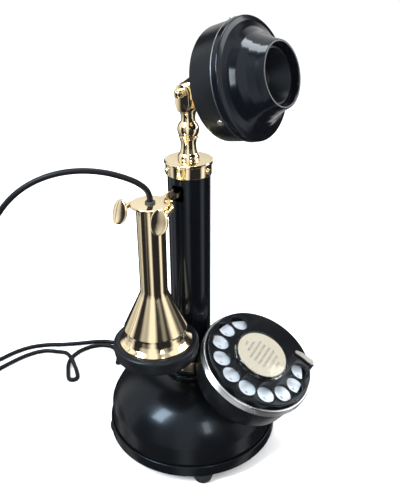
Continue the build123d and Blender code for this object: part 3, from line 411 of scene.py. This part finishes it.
clear.inputs["IOR"].default_value = 1.46
slot_of = {entry["node"]: entry["material_slot"] for entry in frame["record"]["subparts"]}
for name, node in nodes.items():
    node.data.materials.clear()
    node.data.materials.append(finishes[slot_of[name]])
for cord in (receiver_cord, line_cord):
    cord.data.materials.clear()
    cord.data.materials.append(finishes["cord_black"])
print("finishes", len(finishes))

# %% [markdown]
# ## Turned pieces
# Most of this telephone was made on a lathe or a spinning chuck. A turned piece starts as a few
# corners of its section, which are joined by edges, rounded with a vertex bevel, and spun round
# the axis. A helper does all three, so that each piece is only a list of corners.


# %% A helper for turned pieces
def rounded_section(corners):
    """Edges through (radius, height[, rounding]) corners in mm, with the corners rounded."""
    shape = bmesh.new()
    points = [shape.verts.new((c[0] * MM, 0, c[1] * MM)) for c in corners]
    for first, second in zip(points, points[1:]):
        shape.edges.new((first, second))
    if corners[0][0] > 0:
        shape.edges.new((points[-1], points[0]))
    reach = {}
    for i, corner in enumerate(corners):
        if len(corner) > 2:
            before = Vector(corners[i - 1][:2]) - Vector(corner[:2])
            after = Vector(corners[(i + 1) % len(corners)][:2]) - Vector(corner[:2])
            tangent = corner[2] / math.tan(before.angle(after) / 2)
            reach[points[i]] = min(tangent, before.length * 0.49, after.length * 0.49)
    for point, offset in reach.items():
        bmesh.ops.bevel(shape, geom=[point], offset=offset * MM, offset_type="OFFSET",
                        segments=6, profile=0.5, affect="VERTICES", material=-1)
    return shape


def as_object(name, shape, place=Matrix.Identity(4), sharp=32):
    """Keep a bmesh as an object, with its place in its mesh and smooth shading between edges."""
    shape.transform(place)
    mesh = bpy.data.meshes.new(name)
    shape.to_mesh(mesh)
    shape.free()
    mesh.shade_smooth()
    mesh.set_sharp_from_angle(angle=math.radians(sharp))
    made = bpy.data.objects.new(name, mesh)
    bpy.context.scene.collection.objects.link(made)
    return made


def spun(corners, steps=120):
    """A closed solid spun from a section."""
    shape = rounded_section(corners)
    bmesh.ops.spin(shape, geom=shape.verts[:] + shape.edges[:], cent=(0, 0, 0), axis=(0, 0, 1),
                   angle=math.tau, steps=steps, use_merge=True, use_duplicate=False)
    bmesh.ops.remove_doubles(shape, verts=shape.verts, dist=1e-6)
    bmesh.ops.recalc_face_normals(shape, faces=shape.faces)
    return shape


def stands_for(piece, body, finish_slot, *replaced):
    """Finish a piece: its material, its body, and the CAD nodes that it stands for."""
    piece.data.materials.clear()
    piece.data.materials.append(finishes[finish_slot])
    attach(piece, body)
    if replaced:
        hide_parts(*replaced)
    print(piece.name, len(piece.data.polygons), "faces")
    return piece


# %% [markdown]
# The dial and the transmitter are turned about axes of their own, and the receiver hangs beside
# the column. Each place is a matrix whose columns are the piece's own X, Y and Z directions.


# %% Places
def place_at(origin, x_axis, z_axis):
    x_axis, z_axis = Vector(x_axis), Vector(z_axis)
    turned = Matrix((x_axis, z_axis.cross(x_axis), z_axis)).transposed().to_4x4()
    return Matrix.Translation(Vector(origin) * MM) @ turned


dial_lean = math.radians(26.7)
dial_out = (0, -math.sin(dial_lean), math.cos(dial_lean))
dial_place = place_at((0, -62.9, 95.8), (1, 0, 0), dial_out)
TILT_HEIGHT = 277.8
speech_tilt = math.radians(15.2)
speech_out = (0, -math.cos(speech_tilt), math.sin(speech_tilt))
speech_place = place_at((0, 0, TILT_HEIGHT), (1, 0, 0), speech_out)
hook_turn = math.radians(4.9)
hook_place = Matrix.Translation((0, 0, 0.2127)) @ Matrix.Rotation(hook_turn, 4, "Z")
receiver_place = Matrix.Rotation(hook_turn, 4, "Z") @ Matrix.Translation((-0.0455, 0, 0))
print("dial axis", [round(v, 3) for v in dial_out])

# %% [markdown]
# ## The base
# The base is a spun steel dome that stands in a shallow pan, both sprayed black. The dome's line
# is a short straight wall, a tight shoulder and one long arc, so its section is a few corners
# and the points of that arc.


# %% Dome and pan
def arc(centre, radius, start, end, count):
    """Corners along an arc of a section, in mm and degrees."""
    step = (end - start) / (count - 1)
    angles = [math.radians(start + step * i) for i in range(count)]
    return [(centre[0] + radius * math.cos(a), centre[1] + radius * math.sin(a))
            for a in angles]


outside = arc((24.14, 18.60), 42.44, 18.4, 92.2, 26)
inside = arc((24.14, 18.60), 40.04, 90.0, 20.0, 14)
dome_section = [(65.0, 10.0), (64.5, 31.2, 4.0)] + outside + [(15.0, 61.0), (15.0, 58.6)]
dome = as_object("dome", spun(dome_section + inside + [(62.6, 10.0)], steps=160))
stands_for(dome, "base", "black_enamel", "base_shell")
pan = as_object("pan", spun([(0, 8.0), (67.0, 8.0, 1.0), (66.6, 16.8, 0.7), (65.3, 16.8, 0.4),
                             (65.3, 10.0), (0, 10.0)], steps=160))
stands_for(pan, "base", "black_enamel", "base_pan")

# %% [markdown]
# Four moulded feet hold the pan off the desk. One is spun, and copies of it are turned round the
# base into one mesh.


# %% Feet and glands
def gathered(name, shapes, sharp=32):
    """One object from several bmeshes."""
    whole = bmesh.new()
    for shape in shapes:
        part = bpy.data.meshes.new("part")
        shape.to_mesh(part)
        whole.from_mesh(part)
        shape.free()
        bpy.data.meshes.remove(part)
    return as_object(name, whole, sharp=sharp)


def moved(shape, place):
    shape.transform(place)
    return shape


foot_section = [(2.0, 3.2), (3.3, 3.2), (3.3, 0.0), (5.9, 0.0, 1.2), (7.5, 4.8, 1.5),
                (7.5, 8.0), (2.0, 8.0)]
feet = gathered("feet", [
    moved(spun(foot_section, steps=48),
          Matrix.Rotation(math.radians(45 + 90 * i), 4, "Z") @ Matrix.Translation((0.0605, 0, 0)))
    for i in range(4)])
stands_for(feet, "base", "feet_rubber", "rubber_feet")
gland_section = [(0, -5.0), (3.4, -5.0), (3.4, 0.5), (5.0, 0.5), (5.0, 1.9, 0.5), (3.4, 2.2),
                 (3.3, 3.6, 0.4), (2.9, 4.0, 0.3), (3.1, 5.0, 0.3), (2.8, 5.4, 0.3),
                 (2.9, 6.4, 0.3), (2.65, 6.8, 0.3), (2.6, 9.0, 0.3), (0, 9.0)]
glands = []
for bearing_deg in (76.0, 88.0):
    bearing = math.radians(bearing_deg)
    outwards = Vector((math.cos(bearing), math.sin(bearing), 0))
    seat = outwards * 64.65 + Vector((0, 0, 24.0))
    glands.append(moved(spun(gland_section, steps=40), place_at(seat, (0, 0, 1), outwards)))
stands_for(gathered("glands", glands), "base", "moulded_black", "cord_glands")

# %% [markdown]
# ## The column
# A black tube rises from a stepped foot to a brass collar. The hook's arm passes through a slot
# in the tube. The slot is cut with a Boolean, applied at once, from a rounded block.


# %% Column, foot and collar
def cut(piece, *cutters):
    """Cut pieces out of another one, for good."""
    for cutter in cutters:
        step = piece.modifiers.new("cut", "BOOLEAN")
        step.object = cutter
        step.solver = "EXACT"
    bpy.context.view_layer.update()
    mesh = bpy.data.meshes.new_from_object(piece.evaluated_get(
        bpy.context.evaluated_depsgraph_get()))
    piece.modifiers.clear()
    piece.data = mesh
    mesh.shade_smooth()
    mesh.set_sharp_from_angle(angle=math.radians(30))
    for cutter in cutters:
        bpy.data.objects.remove(cutter)
    return piece


def rounded_block(name, size, place, rounding):
    """A block, size in mm, with all its edges rounded."""
    shape = bmesh.new()
    bmesh.ops.create_cube(shape, size=1)
    bmesh.ops.scale(shape, vec=[s * MM for s in size], verts=shape.verts)
    bmesh.ops.bevel(shape, geom=shape.edges[:], offset=rounding * MM, offset_type="OFFSET",
                    segments=4, profile=0.5, affect="EDGES", material=-1)
    return as_object(name, shape, place)


tube = as_object("tube", spun([(13.3, 50.0), (14.9, 50.0), (14.9, 230.1), (13.3, 230.1)],
                              steps=144))
slot_cutter = rounded_block("slot_cutter", (14, 9.2, 11.5),
                            hook_place @ Matrix.Translation((-0.0145, 0, -0.00125)), 2.0)
cut(tube, slot_cutter)
stands_for(tube, "base", "black_gloss", "column_tube")
foot_plate = as_object("foot_plate", spun([(15.0, 61.0), (22.0, 61.0), (22.0, 64.2, 1.6),
                                           (18.6, 64.2), (18.6, 65.9, 0.6), (15.0, 65.9)]))
stands_for(foot_plate, "base", "black_enamel", "column_foot")
collar = as_object("collar", spun([
    (0, 230.1), (14.9, 230.1), (14.9, 222.3), (15.8, 222.3), (16.1, 222.6, 0.3), (16.1, 230.1),
    (16.9, 230.15, 0.4), (16.9, 231.4), (16.3, 232.1, 0.6), (0, 232.1)]))
stands_for(collar, "base", "polished_brass", "top_collar")

# %% [markdown]
# The neck is a brass turning: a low bead, a waisted vase, a ball, and a second waist that swells
# into the fork. The fork's two cheeks are flat shields with round tops, so they are extruded
# from a bevelled outline and stood on the turning.

# %% Neck
neck_line = [(0, 232.1), (7.4, 232.1), (7.6, 233.4, 0.8), (7.2, 235.0, 1.0), (6.0, 236.6, 1.5),
             (5.3, 240.0, 4.0), (5.2, 243.0, 4.0), (5.9, 246.4, 2.0), (6.5, 247.2, 0.4),
             (6.5, 248.2, 0.4), (5.6, 248.7)]
ball = arc((0, 252.6), 7.4, -32, 48, 14)
ball = [(max(5.0, r), z) for r, z in ball]
upper = [(4.9, 258.6, 0.8), (4.7, 260.8, 2.0), (5.3, 263.5, 2.0), (6.6, 266.4, 1.5), (6.6, 267.8),
         (0, 267.8)]
neck_turning = spun(neck_line + ball + upper)


def cheek(side):
    """One shield-shaped cheek of the fork, on the given side."""
    shape = bmesh.new()
    outline = [(-3.6, 264.8), (3.6, 264.8), (6.0, 270.6), (5.7, 277.8), (3.9, 282.0),
               (0, 283.5), (-3.9, 282.0), (-5.7, 277.8), (-6.0, 270.6)]
    points = [shape.verts.new((side * 3.2 * MM, y * MM, z * MM)) for y, z in outline]
    face = shape.faces.new(points)
    bmesh.ops.bevel(shape, geom=points, offset=1.2 * MM, offset_type="OFFSET", segments=3,
                    profile=0.5, affect="VERTICES", material=-1)
    raised = bmesh.ops.extrude_face_region(shape, geom=shape.faces[:])
    lifted = [g for g in raised["geom"] if isinstance(g, bmesh.types.BMVert)]
    bmesh.ops.translate(shape, verts=lifted, vec=(side * 3.6 * MM, 0, 0))
    bmesh.ops.recalc_face_normals(shape, faces=shape.faces)
    rims = [e for e in shape.edges if len(e.link_faces) == 2 and e.calc_face_angle() > 1.2]
    bmesh.ops.bevel(shape, geom=rims, offset=0.5 * MM, offset_type="OFFSET", segments=3,
                    profile=0.5, affect="EDGES", material=-1)
    return shape


neck = gathered("neck", [neck_turning, cheek(-1), cheek(1)], sharp=40)
stands_for(neck, "base", "polished_brass", "neck_post")
knob = [(0, -12.6), (1.4, -12.5, 0.6), (2.8, -11.2, 1.0), (3.2, -9.7, 1.2), (2.7, -8.0, 0.8),
        (2.9, -7.6, 0.3), (2.9, -6.8, 0.3), (2.5, -6.8), (2.5, 11.6, 0.4), (0, 11.8)]
nut = [(2.5, 6.8), (4.6, 6.8, 0.5), (4.6, 10.8, 0.5), (2.5, 10.8)]
across = place_at((0, 0, TILT_HEIGHT), (0, 1, 0), (1, 0, 0))
bolt = gathered("tilt_knob", [moved(spun(knob, steps=64), across), moved(spun(nut), across)])
stands_for(bolt, "base", "polished_brass", "tilt_bolt")

# %% [markdown]
# ## The transmitter
# A sprayed cup, a bright seam, and a pressed-resin face that sweeps up into the horn. The sweep
# is one long hollow curve, so its corners get large roundings.

# %% Cup, seam, face and mouthpiece
cup = as_object("cup", spun([(0, 29.45), (34.8, 29.45, 3.0), (36.1, 47.6), (33.0, 47.6),
                             (33.0, 31.65, 2.0), (0, 31.65)], steps=144), speech_place)
stands_for(cup, "transmitter", "black_enamel", "transmitter_cup")
seam = as_object("seam", spun([(33.0, 47.6), (36.85, 47.6, 0.2), (36.85, 48.4, 0.2),
                               (33.0, 48.4)], steps=144), speech_place)
stands_for(seam, "transmitter", "seam_metal", "seam_ring")
face_section = [
    (30.5, 42.1), (32.9, 42.1), (32.9, 48.4), (36.8, 48.4), (36.8, 52.45, 0.9),
    (33.4, 53.15, 1.2), (29.6, 54.9, 5.0), (26.2, 58.2, 6.0), (23.6, 62.6, 8.0),
    (21.4, 67.4, 12.0), (19.6, 72.05, 0.5), (18.1, 72.05, 0.5), (17.05, 67.45), (17.05, 65.95),
    (15.05, 65.95), (15.05, 49.0), (19.5, 49.0), (19.5, 53.25), (30.5, 50.55)]
face = as_object("horn", spun(face_section, steps=160), speech_place)
stands_for(face, "transmitter", "black_gloss", "transmitter_face")

mouth = as_object("mouth", spun([
    (0, 53.25), (15.0, 53.25), (15.0, 65.95), (17.0, 65.95), (17.0, 67.45, 0.5),
    (15.4, 67.45, 0.4), (9.0, 55.65, 1.5), (0, 54.85)]), speech_place)
drills = bmesh.new()
for ring_radius, count in ((0, 1), (3.2, 6), (6.0, 12)):
    for i in range(count):
        spot = Matrix.Rotation(math.tau * i / count, 4, "Z") @ Matrix.Translation(
            (ring_radius * MM, 0, 0.055))
        bmesh.ops.create_cone(drills, cap_ends=True, segments=16, radius1=0.75 * MM,
                              radius2=0.75 * MM, depth=0.008, matrix=spot)
cut(mouth, as_object("drills", drills, speech_place))
stands_for(mouth, "transmitter", "black_satin", "mouthpiece")

# %% [markdown]
# ## The receiver
# The receiver is a polished brass bell with a flat button on top, where the cord goes in, and a
# dished ring below that carries the resin ear cap.

# %% Bell, button, dish and ear cap
bell = as_object("bell", spun([
    (7.9, 214.5), (9.4, 214.5), (9.4, 151.6, 9.0), (21.6, 124.8), (22.1, 123.6, 0.3),
    (20.4, 123.6), (7.9, 151.6, 5.0)], steps=144), receiver_place)
stands_for(bell, "receiver", "polished_brass", "receiver_body")
button = as_object("button", spun([
    (2.4, 206.5), (7.85, 206.5), (7.85, 214.5), (12.9, 214.5), (13.1, 214.9, 0.3),
    (13.1, 216.0, 0.5), (2.4, 216.0)]), receiver_place)
stands_for(button, "receiver", "polished_brass", "receiver_top")
grommet = as_object("grommet", spun([
    (1.9, 213.0), (2.35, 213.0), (2.35, 216.0), (3.4, 216.0), (3.4, 217.3, 0.7),
    (1.95, 217.6, 0.2)], steps=48), receiver_place)
stands_for(grommet, "receiver", "moulded_black", "receiver_grommet")
dish = as_object("dish", spun([
    (17.8, 123.6), (20.8, 123.6), (20.8, 121.6, 0.4), (21.3, 118.2, 3.0), (22.8, 115.4, 3.0),
    (25.4, 113.2, 0.6), (25.4, 109.2), (23.4, 109.2), (23.4, 111.6), (17.8, 115.2)],
    steps=144), receiver_place)
stands_for(dish, "receiver", "polished_brass", "receiver_dish")
ear_section = [
    (2.5, 106.6), (12.0, 105.8, 4.0), (21.0, 104.0, 2.0), (23.5, 101.6, 1.0),
    (28.6, 101.6, 0.6), (29.6, 103.6, 0.8), (30.2, 107.6, 1.5), (30.2, 112.4, 2.2),
    (25.45, 112.4, 0.5), (25.45, 109.2), (26.05, 109.2), (26.05, 108.8), (22.9, 108.8),
    (22.9, 108.2), (2.5, 108.2)]
ear_piece = as_object("ear_piece", spun(ear_section, steps=144), receiver_place)
holes = bmesh.new()
for i in range(6):
    spot = Matrix.Rotation(math.tau * i / 6, 4, "Z") @ Matrix.Translation((0.007, 0, 0.1062))
    bmesh.ops.create_cone(holes, cap_ends=True, segments=20, radius1=1.4 * MM,
                          radius2=1.4 * MM, depth=0.008, matrix=spot)
cut(ear_piece, as_object("holes", holes, receiver_place))
stands_for(ear_piece, "receiver", "black_satin", "ear_cap")

# %% [markdown]
# ## The dial
# The dial's drum and bezel are turned. The finger wheel is a flat plate with ten holes: a flat
# curve fills the space between an outer circle and ten inner ones, and its own extrude and
# bevel give the plate its thickness and its softened rims.

# %% Drum, bezel and number plate
drum = as_object("drum", spun([
    (0, -36.0), (37.2, -36.0, 6.0), (40.9, -10.8), (40.6, -10.8), (40.6, -5.2, 0.4),
    (38.6, -5.2), (38.6, -6.2), (35.6, -6.2), (35.6, -8.2), (38.9, -8.2), (35.2, -34.0, 4.0),
    (0, -34.0)], steps=160), dial_place)
stands_for(drum, "base", "black_enamel", "dial_housing")
bezel_line = [(40.65, -10.8), (42.3, -10.8, 0.2)]
for groove in (-9.5, -8.1, -6.7):
    bezel_line += [(42.5, groove - 0.45, 0.15), (42.05, groove, 0.1), (42.5, groove + 0.45, 0.15)]
bezel_line += [(42.5, -5.6, 0.3), (41.8, -4.6, 0.4), (40.65, -4.6, 0.2)]
bezel = as_object("bezel", spun(bezel_line, steps=160), dial_place)
stop_angle = math.radians(-44.0)
notch_place = dial_place @ Matrix.Rotation(stop_angle, 4, "Z") @ Matrix.Translation(
    (0.0432, 0, -0.0078))
cut(bezel, rounded_block("notch", (4, 5.2, 9), notch_place, 0.1))
stands_for(bezel, "base", "bezel_metal", "bezel_ring")
plate = as_object("plate", spun([(9.0, -6.2), (38.5, -6.2), (38.5, -5.4), (9.0, -5.4)],
                                steps=144), dial_place)
stands_for(plate, "base", "number_white", "number_plate")
# A thin black ring on the plate's outer edge is painted shade: it stands for the shade under the
# wheel's rim, in the gap between the wheel and the bezel.
painted_shade_ring = as_object("painted_shade_ring", spun([(35.6, -5.38), (38.5, -5.38), (38.5, -5.30), (35.6, -5.30)],
                                steps=144), dial_place)
stands_for(painted_shade_ring, "base", "black_enamel")

# %% Finger wheel
HOLE_CIRCLE = 31.1
HOLE_RADIUS = 6.4
hole_angles = [math.radians(69.0 + 25.75 * i) for i in range(10)]


def circle_line(curve, x, y, radius):
    """Add a round closed Bezier line to a flat curve, in mm."""
    line = curve.splines.new("BEZIER")
    line.bezier_points.add(7)
    line.use_cyclic_u = True
    for i, point in enumerate(line.bezier_points):
        a = math.tau * i / 8
        handle = radius * math.tan(math.tau / 32) * 4 / 3
        at = Vector((x + radius * math.cos(a), y + radius * math.sin(a), 0))
        along = Vector((-math.sin(a), math.cos(a), 0)) * handle
        point.co = at * MM
        point.handle_left = (at - along) * MM
        point.handle_right = (at + along) * MM


outline = bpy.data.curves.new("wheel_plate", "CURVE")
outline.dimensions = "2D"
outline.fill_mode = "BOTH"
outline.resolution_u = 12
softness = 0.4
circle_line(outline, 0, 0, 39.7 - softness)
for a in hole_angles:
    circle_line(outline, HOLE_CIRCLE * math.cos(a), HOLE_CIRCLE * math.sin(a),
                HOLE_RADIUS + softness)
outline.extrude = (2.2 / 2 - softness) * MM
outline.bevel_depth = softness * MM
outline.bevel_resolution = 3
wheel_curve = bpy.data.objects.new("wheel_plate", outline)
bpy.context.scene.collection.objects.link(wheel_curve)
wheel = as_mesh(wheel_curve)
shape = bmesh.new()
shape.from_mesh(wheel.data)
bpy.data.objects.remove(wheel)
bmesh.ops.remove_doubles(shape, verts=shape.verts, dist=1e-6)
bmesh.ops.translate(shape, verts=shape.verts, vec=(0, 0, -1.1 * MM))
hub = spun([(3.05, -5.1), (7.0, -5.1), (7.0, -2.2, 0.5), (7.0, -1.5), (3.05, -1.5)], steps=64)
seat = spun([(3.05, -0.5), (18.9, -0.5), (18.9, 2.2), (3.05, 2.2)], steps=96)
wheel = gathered("finger_plate", [moved(shape, dial_place), moved(hub, dial_place),
                                  moved(seat, dial_place)], sharp=35)
stands_for(wheel, "wheel", "black_enamel", "finger_wheel")

# %% [markdown]
# The number plate has a small digit under each hole, and the card in the middle has a few plain
# lines of printing. Text is a curve, so it is made a mesh before its place is applied.


# %% Printing
def printed(text, size, place, thickness=0.03):
    """A bmesh of some text, size in mm, centred on its place."""
    words = bpy.data.curves.new("words", "FONT")
    words.body = text
    words.size = size * MM
    words.align_x = "CENTER"
    words.align_y = "CENTER"
    words.extrude = thickness * MM
    words.resolution_u = 3
    made = bpy.data.objects.new("words", words)
    bpy.context.scene.collection.objects.link(made)
    mesh_piece = as_mesh(made)
    shape = bmesh.new()
    shape.from_mesh(mesh_piece.data)
    bpy.data.objects.remove(mesh_piece)
    return moved(shape, place)


finishes["ink"] = finish("ink", (0.10, 0.11, 0.13), roughness=0.6, tone=0.2)
digits = []
for i, a in enumerate(hole_angles):
    at = Matrix.Translation((HOLE_CIRCLE * MM * math.cos(a) + 0.6 * MM,
                             HOLE_CIRCLE * MM * math.sin(a) - 1.2 * MM, -5.37 * MM))
    digits.append(printed(str((i + 1) % 10), 3.2, dial_place @ at))
numbers = gathered("numbers", digits)
numbers.data.materials.append(finishes["ink"])
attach(numbers, "base")
card_lines = ["LIFT", "RECEIVER", "AND LISTEN FOR", "DIALLING TONE", "THEN TURN DIAL",
              "TO FINGER STOP", "AND LET GO", "OF IT"]
rows = []
slant = Matrix.Rotation(math.radians(10), 4, "Z")
for i, words in enumerate(card_lines):
    at = slant @ Matrix.Translation((0, (13.3 - 3.8 * i) * MM, 2.62 * MM))
    rows.append(printed(words, 2.5, dial_place @ at))
card_print = gathered("card_print", rows)
card_print.data.materials.append(finishes["ink"])
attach(card_print, "wheel")
print("digits", len(digits), "rows", len(rows))

# %% [markdown]
# The card lies under a thin clear cover with a rounded edge.

# %% Card and cover
card = as_object("card", spun([(0, 2.2), (18.6, 2.2), (18.6, 2.6, 0.1), (0, 2.6)]), dial_place)
stands_for(card, "wheel", "card_cream", "label_card")
cover = as_object("cover", spun([(18.95, 0.0), (20.1, 0.0), (20.1, 3.4, 0.8), (0, 3.4),
                                 (0, 2.7), (18.95, 2.7)]), dial_place)
stands_for(cover, "wheel", "clear_cover", "label_cover")

# %% [markdown]
# ## Small brass and steel
# What was cut, bent or filed keeps its CAD shape. A merged copy gives it smooth shading between
# its real edges, and a narrow Bevel lets each edge catch the light.


# %% Smoothed copies
def smoothed(name, body, bevel=0.25, sharp=30):
    """A CAD node's own shape with smooth shading and softened edges, bevel in mm."""
    shape = bmesh.new()
    shape.from_mesh(nodes[name].data)
    bmesh.ops.remove_doubles(shape, verts=shape.verts, dist=2e-6)
    bmesh.ops.dissolve_limit(shape, angle_limit=math.radians(0.6), verts=shape.verts,
                             edges=shape.edges)
    piece = as_object(name + "_piece", shape, sharp=sharp)
    if bevel:
        edge = piece.modifiers.new("edge", "BEVEL")
        edge.width = bevel * MM
        edge.segments = 3
        edge.limit_method = "ANGLE"
        edge.angle_limit = math.radians(40)
        edge.harden_normals = True
    return stands_for(piece, body, slot_of[name], name)


smoothed("clamp_band", "base", bevel=0.4)
smoothed("finger_stop", "base", bevel=0.2)
smoothed("dial_bracket", "base", bevel=0.3)
smoothed("transmitter_lug", "transmitter", bevel=0.5)

# %% [markdown]
# ## The switch hook
# The hook's arm keeps its CAD shape as far as the fork, where a plane cuts it off. The fork is a
# rounded bar swept most of the way round the receiver's neck, and each prong ends in a paddle
# that curls outwards at the bottom. A paddle starts as a sphere, flattened and bent point by point.


# %% Hook
def prongs():
    """The fork round the receiver's neck, in the receiver's own place, in mm."""
    shape = bmesh.new()
    section = [(math.copysign(abs(math.cos(a)) ** 0.6, math.cos(a)) * 2.3,
                math.copysign(abs(math.sin(a)) ** 0.6, math.sin(a)) * 1.5)
               for a in (math.tau * i / 20 for i in range(20))]
    rings = []
    for i in range(65):
        bearing_deg = -129 + 258 * i / 64
        flare = min(1.0, max(0.0, (abs(bearing_deg) - 80) / 46))
        radius = 13.05 + 3.9 * flare ** 2 * (3 - 2 * flare)
        a = math.radians(bearing_deg)
        rings.append([shape.verts.new(Vector(((radius + out) * math.cos(a),
                                              (radius + out) * math.sin(a), 212.7 + up)) * MM)
                      for out, up in section])
    for first, second in zip(rings, rings[1:]):
        for j in range(20):
            k = (j + 1) % 20
            shape.faces.new((first[j], second[j], second[k], first[k]))
    shape.faces.new(rings[0])
    shape.faces.new(rings[-1])
    bmesh.ops.recalc_face_normals(shape, faces=shape.faces)
    return moved(shape, receiver_place)


def paddle(side):
    """One ear of the hook, on the given side of the receiver."""
    shape = bmesh.new()
    bmesh.ops.create_uvsphere(shape, u_segments=48, v_segments=28, radius=1)
    for point in shape.verts:
        x, y, z = point.co
        thickness = 1.25 * math.copysign(abs(x) ** 0.7, x)
        curl = 2.2 * max(0.0, -z) ** 2
        point.co = Vector((thickness + curl, 6.2 * y * (1 - 0.1 * z), 8.2 * z)) * MM
    where = (Matrix.Translation((-0.0118, side * 0.0152, 0.2110))
             @ Matrix.Rotation(side * math.radians(172), 4, "Z")
             @ Matrix.Rotation(math.radians(-12), 4, "Y"))
    return moved(shape, receiver_place @ where)


arm = bmesh.new()
arm.from_mesh(nodes["hook_lever"].data)
bmesh.ops.remove_doubles(arm, verts=arm.verts, dist=2e-6)
along = receiver_place.to_3x3() @ Vector((1, 0, 0))
bmesh.ops.bisect_plane(arm, geom=arm.verts[:] + arm.edges[:] + arm.faces[:],
                       plane_co=receiver_place @ Vector((0.0135, 0, 0.2127)), plane_no=along,
                       clear_inner=True)
bmesh.ops.holes_fill(arm, edges=[e for e in arm.edges if e.is_boundary], sides=0)
hook = gathered("hook", [arm, prongs(), paddle(-1), paddle(1)], sharp=40)
stands_for(hook, "hook", "polished_brass", "hook_lever")

# %% Update the view layer
bpy.context.view_layer.update()
